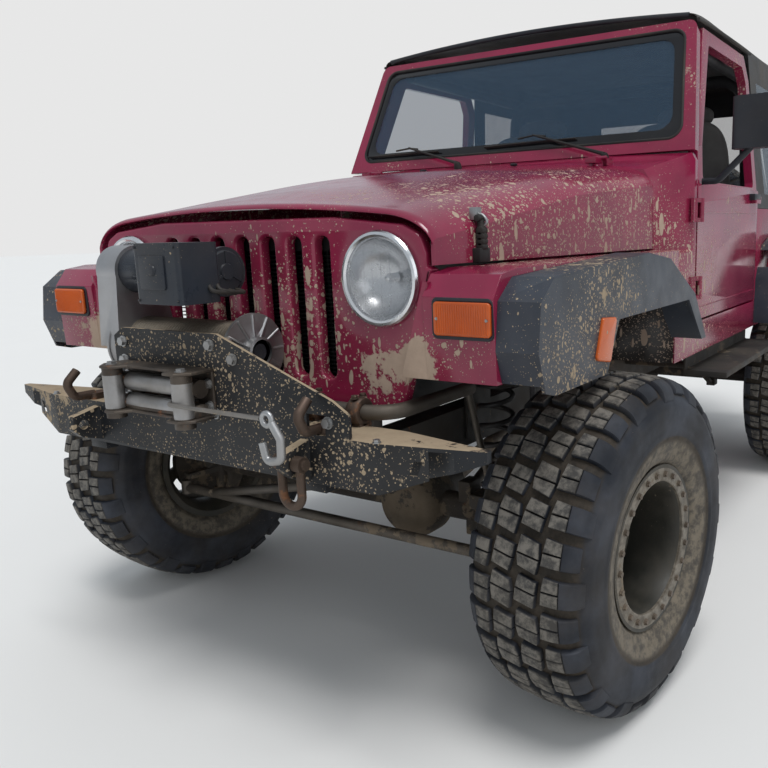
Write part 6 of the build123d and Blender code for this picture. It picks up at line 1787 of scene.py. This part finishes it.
@dataclass
class Suspension:
    """Coil springs and shock absorbers in place of the frame's plain ones."""

    coil_r: float = 45.0
    wire_r: float = 7.0
    turns: float = 6.5
    coil_y: float = 480.0
    shock_y: float = 540.0

    def coil(self, x: float, y: float, low: float, high: float) -> Patch:
        """One coil spring.

        Its line is (R cos a, R sin a, z), with z rising evenly but slower over the first and last turn.

        Args:
            x: Its place along X.
            y: Its place along Y.
            low: The height of its lower seat.
            high: The height of its upper seat.

        Returns:
            The coil.
        """
        t = np.linspace(0, 1, 150)
        angle = t * self.turns * 2 * math.pi
        ease = np.clip((t - 0.09) / 0.82, 0, 1)
        z = low + self.wire_r + (high - low - 2 * self.wire_r) * (0.06 * t + 0.94 * ease)
        line = np.stack([x + self.coil_r * np.cos(angle), y + self.coil_r * np.sin(angle), z], axis=1)
        return tube(line, self.wire_r, 10)

    def shock(self, x: float, y: float, low: float, high: float) -> Patch:
        """One shock absorber: body, dust tube, rod, and a bolted eye at each end.

        Args:
            x: Its place along X.
            y: Its place along Y.
            low: The height of its lower end.
            high: The height of its upper end.

        Returns:
            The shock absorber.
        """
        span = high - low
        half = span * 0.5
        body = lathe([
            (AXIS_R, 0), (12, 0), (14, 18), (23, 24), (24, 30), (24, half), (22, half + 4), (8, half + 6),
            (8, span - 26), (14, span - 22), (14, span - 6), (9, span), (AXIS_R, span),
        ], 24, False)
        eye = lathe([(8, -15), (17, -15), (17, 15), (8, 15)], 24).turned((1, 0, 0), 90)
        nut = spread(hex_bolt(16, 10), [(0, 18, 16), (0, -18, 16)], (0, 1, 0))
        return joined([body, eye.moved(0, 0, 16), nut]).moved(x, y, low)

    def build(self) -> None:
        """Makes the four springs and four shock absorbers."""
        springs, shocks = [], []
        for x, top in ((0.0, 800.0), (-WHEELBASE, 725.0)):
            springs.append(self.coil(x, self.coil_y, 486.3, top))
            shocks.append(self.shock(x - 95, self.shock_y, 424.3, top))
        coils = build("coil_springs", both(joined(springs)), SPRING_PAINT, "vehicle")
        dampers = build("shock_absorbers", both(joined(shocks)), SHOCK_PAINT, "vehicle", Refine(crease=35))
        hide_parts("springs_and_shocks")
        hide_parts("springs_and_shocks")


# Soft top and seats


@dataclass
class SoftTop:
    """The cloth top as one curved sheet over roof, quarters and back, with its panes, bar and gutters."""

    header: float = -1060.0
    quarter: float = -1781.0
    back_top: float = -2885.0
    back_low: float = -2995.0
    belt: float = 1266.0
    pane_rises: tuple[float, float] = (0.1, 0.84)
    quarter_runs: tuple[float, float] = (0.475, 0.86)
    rear_run: float = 2.2

    def level(self, rise: float) -> tuple[float, float, float, float]:
        """The plan at one level: side y, back x, height and corner radius.

        From rise 0 to 1 the cloth goes up the leaning side, from 1 to 2 round the roof's edge along a quarter
        ellipse, and from 2 to 3 in to the middle line over the crown, 1 - (1 - u)^2.

        Args:
            rise: The level, 0 to 3.

        Returns:
            The four measures.
        """
        if rise <= 1:
            return 744 - 64 * rise, self.back_low + 110 * rise, self.belt + 632 * rise, 70 + 40 * rise
        if rise <= 2:
            a = (rise - 1) * math.pi / 2
            turn = 1 - math.cos(a)
            return 680 - 62 * turn, self.back_top + 90 * turn, 1898 + 45 * math.sin(a), 110.0
        u = rise - 2
        height = 1943 + 17 * (1 - (1 - u) ** 2)
        return 618 * (1 - u), self.back_top + 90 + 560 * u, height, 110 * (1 - u) + 0.5

    def ring(self, rise: float, run: Array) -> Array:
        """One level's U-shaped line.

        Its parameter is the way along the left side from the header, 0 to 1, round the corner, 1 to 2, and
        half across the back, 2 to 3. The roof bends down by 30 (1 - t / 0.12)^2 over the header, and sags by
        5 sin(pi t) between its ends.

        Args:
            rise: The level, 0 to 3.
            run: The parameters along the line.

        Returns:
            The points, shape (count, 3).
        """
        side, back, height, corner = self.level(rise)
        corner = min(corner, side * 0.9)
        angle = (np.clip(run, 1, 2) - 1) * math.pi / 2
        ahead = self.header + (back + corner - self.header) * run
        x = np.where(run <= 1, ahead, back + corner - corner * np.sin(angle))
        y = np.where(run <= 1, side, side - corner + corner * np.cos(angle))
        y = np.where(run > 2, (side - corner) * (3 - run), y)
        z = np.full(len(run), height)
        if rise > 1:
            z -= 30.0 * np.clip(1 - run / 0.12, 0, 1) ** 2 * min(1.0, rise - 1)
        if rise > 2:
            z -= 5.0 * np.sin(math.pi * np.minimum(1.0, run)) * math.sin(math.pi * (rise - 2) * 0.5)
        return np.stack([x, y, z], axis=1)

    def surface(self) -> tuple[Array, Array, Array]:
        """The grid of the left half with its levels and its runs.

        Returns:
            The grid, the levels and the runs.
        """
        door = (self.quarter - self.header) / (self.back_low + 70 - self.header)

        def steps(ends: list[float], counts: list[int]) -> Array:
            """Even steps from each end to the next, with a count of points for each stretch."""
            parts = [np.linspace(low, high, count) for low, high, count in zip(ends, ends[1:], counts)]
            return np.unique(np.round(np.concatenate(parts), 6))

        run = steps([0, door, *self.quarter_runs, 1, 2, self.rear_run, 3], [12, 4, 12, 5, 8, 3, 10])
        rises = steps([0, *self.pane_rises, 1, 2, 3], [3, 12, 4, 8, 11])
        grid = np.array([self.ring(float(k), run) for k in rises])
        # Soft bulges of the cloth between its seams, and a little unevenness
        u, v = np.meshgrid(run, rises)
        grid[..., 1] += np.where(v < 1, 3.0 * np.sin(u * 9 + v * 3) * np.sin(math.pi * v), 0)
        grid[..., 2] += np.where(v > 1.2, 1.6 * np.sin(u * 17 + 1) * np.sin(v * 5), 0)
        return grid, rises, run

    def pieces(self) -> tuple[Patch, Patch]:
        """The cloth and the panes of both halves.

        Returns:
            The cloth, then the panes.
        """
        grid, rises, run = self.surface()
        rows, columns = grid.shape[:2]
        faces = grid_faces(rows, columns, False, False)
        rise = (rises[:-1, None] + rises[1:, None]) / 2 + 0 * run[None, 1:]
        way = (run[None, 1:] + run[None, :-1]) / 2 + 0 * rises[:-1, None]
        middle_x = (grid[:-1, :-1, 0] + grid[1:, 1:, 0]) / 2
        keep = ~((rise < 1) & (middle_x > self.quarter + 6) & (way < 1))
        low, high = self.pane_rises
        front, back = self.quarter_runs
        pane = (rise > low) & (rise < high) & ((way > front) & (way < back) | (way > self.rear_run))
        cloth, clear = faces[(keep & ~pane).ravel()], faces[pane.ravel()]
        if np.cross(grid[1, 0] - grid[0, 0], grid[0, 1] - grid[0, 0])[1] < 0:
            cloth, clear = cloth[:, ::-1], clear[:, ::-1]
        points = grid.reshape(-1, 3)
        return both(self.tidy(Patch(points, [cloth]))), both(self.tidy(Patch(points, [clear])))

    def tidy(self, patch: Patch) -> Patch:
        """The patch without the points that no face uses.

        Args:
            patch: The patch.

        Returns:
            The smaller patch.
        """
        used = np.unique(np.concatenate([f.ravel() for f in patch.faces]))
        index = np.full(len(patch.points), -1)
        index[used] = np.arange(len(used))
        return Patch(patch.points[used], [index[f] for f in patch.faces])

    def build(self) -> None:
        """Makes the cloth, the panes, the header bar and the door gutters."""
        cloth, glass = self.pieces()
        top = build("soft_top_cloth", cloth, TOP_CLOTH, "vehicle", Refine(merge=0.6, wall=2.2, crease=50))
        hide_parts("soft_top")
        panes = build("soft_top_panes", glass, CLEAR_SHEET, "vehicle", Refine(merge=0.6, wall=1.0, crease=50))
        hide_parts("top_windows")
        y = np.linspace(-650, 650, 25)
        line = np.stack([np.full(25, -1062.0), y, 1912 + 30 * (1 - (y / 660) ** 2)], axis=1)
        build("top_header_bar", tube(line, 9, 10), TRIM_PLASTIC, "vehicle")
        gutter = tube(smooth_path([(-1060, 684, 1894), (-1400, 688, 1900), (-1781, 688, 1900)], 10), 6, 8)
        build("door_gutters", both(gutter), RUBBER_TRIM, "vehicle")


def cushion(low: Point, high: Point, crown: float, seams: tuple[float, ...], power: float = 4.0) -> Patch:
    """A stuffed block: a rounded box whose faces swell and whose sewn seams pull in.

    Each point of a cube grid (a, b, c) is moved onto |a|^p + |b|^p + |c|^p = 1 and scaled to the box. Its
    height is cut by crown times 1 - (1 - a^2)(1 - b^2), so that the middle stands up, and by 9 percent at
    each seam.

    Args:
        low: One corner of the box.
        high: The opposite corner.
        crown: How much the faces swell.
        seams: Where the seams lie across Y, from -1 to 1.
        power: The power p, larger for squarer edges.

    Returns:
        The closed cushion.
    """
    line = np.linspace(-1, 1, 25)
    u, v = np.meshgrid(line, line, indexing="ij")
    one = np.ones_like(u)
    sides = [(u, v, one), (v, u, -one), (one, u, v), (-one, v, u), (v, one, u), (u, -one, v)]
    centre, half = (np.array(low) + np.array(high)) / 2, (np.array(high) - np.array(low)) / 2
    patches = []
    for side in sides:
        p = np.stack(side, axis=-1)
        p /= np.sum(np.abs(p) ** power, axis=-1, keepdims=True) ** (1 / power)
        swell = 1 - crown * (1 - (1 - p[..., 0:1] ** 2) * (1 - p[..., 1:2] ** 2))
        height = p[..., 2:3] * swell
        dent = sum(np.exp(-(((p[..., 1:2] - s) / 0.045) ** 2)) for s in seams) if seams else 0.0
        height = height * (1 - 0.09 * dent)
        placed = centre + np.concatenate([p[..., :2], height], axis=-1) * half
        patches.append(sheet_patch(placed))
    return joined(patches).outward()


@dataclass
class Seats:
    """Two front seats and the rear bench with crowned cushions, seams, headrests and their metal bases."""

    seat_y: float = 370.0
    floor: float = 800.0

    def seat(self, y: float) -> list[Patch]:
        """One front seat's three cushions: base, leaning back and headrest.

        Args:
            y: The seat's middle.

        Returns:
            The cushions in that order.
        """
        base = cushion((-1760, y - 243, 1000), (-1330, y + 243, 1108), 0.32, (-0.55, 0.55))
        back = cushion((-300, y - 235, -58), (300, y + 235, 58), 0.30, (-0.55, 0.55))
        back = back.turned((0, 1, 0), -76).moved(-1842, 0, 1360)
        head = cushion((-1968, y - 130, 1632), (-1880, y + 130, 1738), 0.2, (), 3.0)
        return [base, back, head]

    def build(self) -> None:
        """Makes the cushions and bases."""
        middles = (("left", self.seat_y), ("right", -self.seat_y))
        pads = {
            f"seat_{side}_{part}": patch
            for side, y in middles for part, patch in zip(("base", "back", "head"), self.seat(y))
        }
        pads["bench_base"] = cushion((-2560, -438, 1004), (-2182, 438, 1116), 0.3, (-0.34, 0.34))
        back = cushion((-185, -438, -42), (185, 438, 42), 0.3, (-0.34, 0.34)).turned((0, 1, 0), -80)
        pads["bench_back"] = back.moved(-2652, 0, 1252)
        for name, patch in pads.items():
            pad = build(name, patch, SEAT_CLOTH, "vehicle", Refine(merge=0.5, crease=80))
            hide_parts("seats")
        bases = []
        for _, y in middles:
            bases.append(box_patch((-1800, y - 190, self.floor), (-1420, y - 160, 1006)))
            bases.append(box_patch((-1800, y + 160, self.floor), (-1420, y + 190, 1006)))
            bases.append(box_patch((-1770, y - 160, 980), (-1450, y + 160, 1004)))
            bases += [tube([(-1915, y + o, 1560), (-1925, y + o, 1650)], 6, 10) for o in (-60, 60)]
        bases += [box_patch((-2600, y - 15, 797), (-2240, y + 15, 1010)) for y in (-330.0, 330.0)]
        metal = build("seat_bases", joined(bases), BAR_PAINT, "vehicle", Refine(bevel=3))
        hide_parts("seats")


# Small things on the body


@dataclass
class BodyDetails:
    """Hood latches with their hooks, door seams and handles, and the bumper's bolts."""

    def latch(self) -> Patch:
        """A rubber hood latch on the left fender side: base, ribbed strap, T-handle.

        Returns:
            The left latch.
        """
        base = box_patch((232, 588, 1128), (276, 612, 1160))
        strap = tube([(252, 603, 1150), (254, 606, 1185), (252, 600, 1222)], 9, 10)
        handle = tube([(236, 600, 1226), (270, 600, 1226)], 8, 12)
        ribs = [tube([(243, 604, z), (265, 604, z)], 10.5, 10) for z in (1162, 1174, 1186, 1198)]
        return joined([base, strap, handle, *ribs])

    def hook(self) -> Patch:
        """The latch's steel hook on the hood's side.

        Returns:
            The left hook.
        """
        bends = ((596, 1204), (612, 1210), (616, 1220), (606, 1232), (592, 1236))
        line = smooth_path([(252, y, z) for y, z in bends], 6)
        return tube(line, 4, 8) + box_patch((240, 577, 1222), (264, 596, 1250))

    def build(self) -> None:
        """Makes the fittings."""
        build("hood_latches", both(self.latch()), RUBBER_TRIM, "vehicle", Refine(bevel=2, crease=35))
        build("latch_hooks", both(self.hook()), ZINC_STEEL, "hood", Refine(bevel=1.5, crease=35))
        seams = joined([tube([(-938, 746.0, z), (-1740, 746.0, z)], 3.0, 8) for z in (918.0, 1244.0)])
        grip = box_patch((-1720, 744, 1296), (-1618, 771, 1322))
        handle = grip + box_patch((-1710, 766, 1300), (-1628, 772.5, 1318))
        rounded = Refine(bevel=5, bevel_steps=3)
        on_doors = (("seam", seams, PAINT, None), ("handle", handle, TRIM_PLASTIC, rounded))
        for name, patch, finish, refine in on_doors:
            build(f"door_{name}_left", patch, finish, "door_left", refine)
            build(f"door_{name}_right", patch.mirrored(), finish, "door_right", refine)
        bolts = spread(hex_bolt(13, 7), [(602, y, 785.3) for y in (-560, -300, 300, 560)], (0, 0, 1))
        build("bumper_bolts", bolts, ZINC_STEEL, "vehicle", Refine(crease=30))


@dataclass
class SoftenedShapes:
    """The frame's own shapes with rounded edges, each with the radius of its make: pressed, cast or cut."""

    radii: dict[str, float] = field(default_factory=lambda: {
        "body_tub": 7.0, "door_left": 6.0, "door_right": 6.0, "front_fenders": 13.0, "fender_flares": 34.0,
        "windscreen_frame": 7.0, "front_bumper": 4.0, "rear_bumper": 5.0, "tailgate": 5.0, "rock_rails": 4.0,
        "frame_rails": 6.0, "cross_members": 5.0, "winch_housing": 6.0, "winch_motor": 9.0, "fairlead": 2.0,
        "mirror_left": 14.0, "dashboard": 12.0, "front_axle": 5.0, "rear_axle": 5.0, "knuckle_left": 4.0,
        "knuckle_right": 4.0, "fuel_tank": 8.0, "engine_gearbox": 8.0, "pitman_arm": 3.0, "tow_hooks": 3.0,
    })

    def build(self) -> None:
        """Rounds every shape in the table, the larger radii in more steps."""
        for node, radius in self.radii.items():
            steps = 6 if radius > 20 else 4 if radius > 10 else 3 if radius >= 6 else 2
            softened(node, radius, steps)


# Camera, floor and light


@dataclass(frozen=True)
class Viewpoint:
    """The photograph's camera: place, the way it looks, its lens, and the crop's shift in pixels."""

    place: Point = (1776.6, 1550.2, 1200.1)
    yaw: float = 0.545
    down: float = 0.195
    roll: float = -0.022
    focal: float = 782.2
    shift: float = 110.0
    picture: float = 768.0

    def install(self) -> None:
        """Makes the scene's camera, its axes worked out from the yaw, the downward tilt and the roll."""
        flat, fall = math.cos(self.down), math.sin(self.down)
        ahead = np.array([-math.cos(self.yaw) * flat, -math.sin(self.yaw) * flat, -fall])
        level = np.cross(ahead, [0.0, 0.0, 1.0])
        level /= np.linalg.norm(level)
        above = np.cross(level, ahead)
        right = level * math.cos(self.roll) + above * math.sin(self.roll)
        up = -level * math.sin(self.roll) + above * math.cos(self.roll)
        data = bpy.data.cameras.new("camera")
        data.sensor_width = 36.0
        data.lens = 36.0 * self.focal / self.picture
        data.shift_x = -self.shift / self.picture
        camera = in_scene("camera", data)
        turn = np.eye(4)
        turn[:3, 0], turn[:3, 1], turn[:3, 2], turn[:3, 3] = right, up, -ahead, metres(np.array(self.place))
        camera.matrix_world = Matrix(turn.tolist())
        bpy.context.scene.camera = camera


@dataclass(frozen=True)
class Studio:
    """A pale floor, an even pale surround, one broad soft lamp and a weaker one."""

    floor_colour: Colour = (0.78, 0.77, 0.75)
    surround: float = 0.6

    def floor(self) -> None:
        """A wide floor at ground height."""
        mesh = bpy.data.meshes.new("floor")
        mesh.from_pydata([(-60, -60, 0), (60, -60, 0), (60, 60, 0), (-60, 60, 0)], [], [(0, 1, 2, 3)])
        floor = in_scene("floor", mesh)
        w = Wiring("floor_paint")
        tone = w.blend(w.noise(1.5, 3), self.floor_colour, tuple(0.97 * c for c in self.floor_colour))
        w.dress(Base_Color=tone, Roughness=0.9)
        mesh.materials.append(w.material)

    def surroundings(self) -> None:
        """Pale light from all round, and a pale background where the camera sees it."""
        world = bpy.data.worlds.new("surround")
        world.use_nodes = True
        tree = world.node_tree
        tree.nodes.clear()
        kinds = ("OutputWorld", "MixShader", "Background", "Background", "LightPath")
        end, pick, light, shown, rays = (tree.nodes.new(f"ShaderNode{kind}") for kind in kinds)
        light.inputs[0].default_value = (0.86, 0.93, 1.0, 1)
        light.inputs[1].default_value = self.surround
        shown.inputs[0].default_value = (0.80, 0.80, 0.80, 1)
        tree.links.new(rays.outputs["Is Camera Ray"], pick.inputs[0])
        tree.links.new(light.outputs[0], pick.inputs[1])
        tree.links.new(shown.outputs[0], pick.inputs[2])
        tree.links.new(pick.outputs[0], end.inputs[0])
        bpy.context.scene.world = world

    def lamp(self, name: str, direction: Point, strength: float, angle: float) -> None:
        """A distant soft lamp that shines along a direction.

        Args:
            name: Its name.
            direction: The way it shines.
            strength: Its strength.
            angle: The lamp's width in degrees.
        """
        data = bpy.data.lights.new(name, "SUN")
        data.energy = strength
        data.angle = math.radians(angle)
        in_scene(name, data).rotation_euler = Vector(direction).to_track_quat("-Z", "Y").to_euler()

    def install(self) -> None:
        """Builds floor, surround and lamps, and sets the plain view transform."""
        self.floor()
        self.surroundings()
        self.lamp("key_lamp", (-0.2, -0.25, -0.95), 1.7, 25.0)
        self.lamp("side_lamp", (-0.3, -0.9, -0.35), 0.3, 40.0)
        bpy.context.scene.view_settings.view_transform = "Standard"


def main() -> None:
    """Builds the whole scene in order."""
    logging.basicConfig(level=logging.INFO, format="%(message)s")
    Viewpoint().install()
    Studio().install()
    dress_frame()
    for part in (
        SoftenedShapes(), Wheels(), Hood(), Grille(), FrontLamps(), Screen(), Winch(), Suspension(),
        SoftTop(),
        Seats(), BodyDetails(),
    ):
        log.info("building %s", type(part).__name__)
        part.build()


if __name__ == "__main__":
    main()
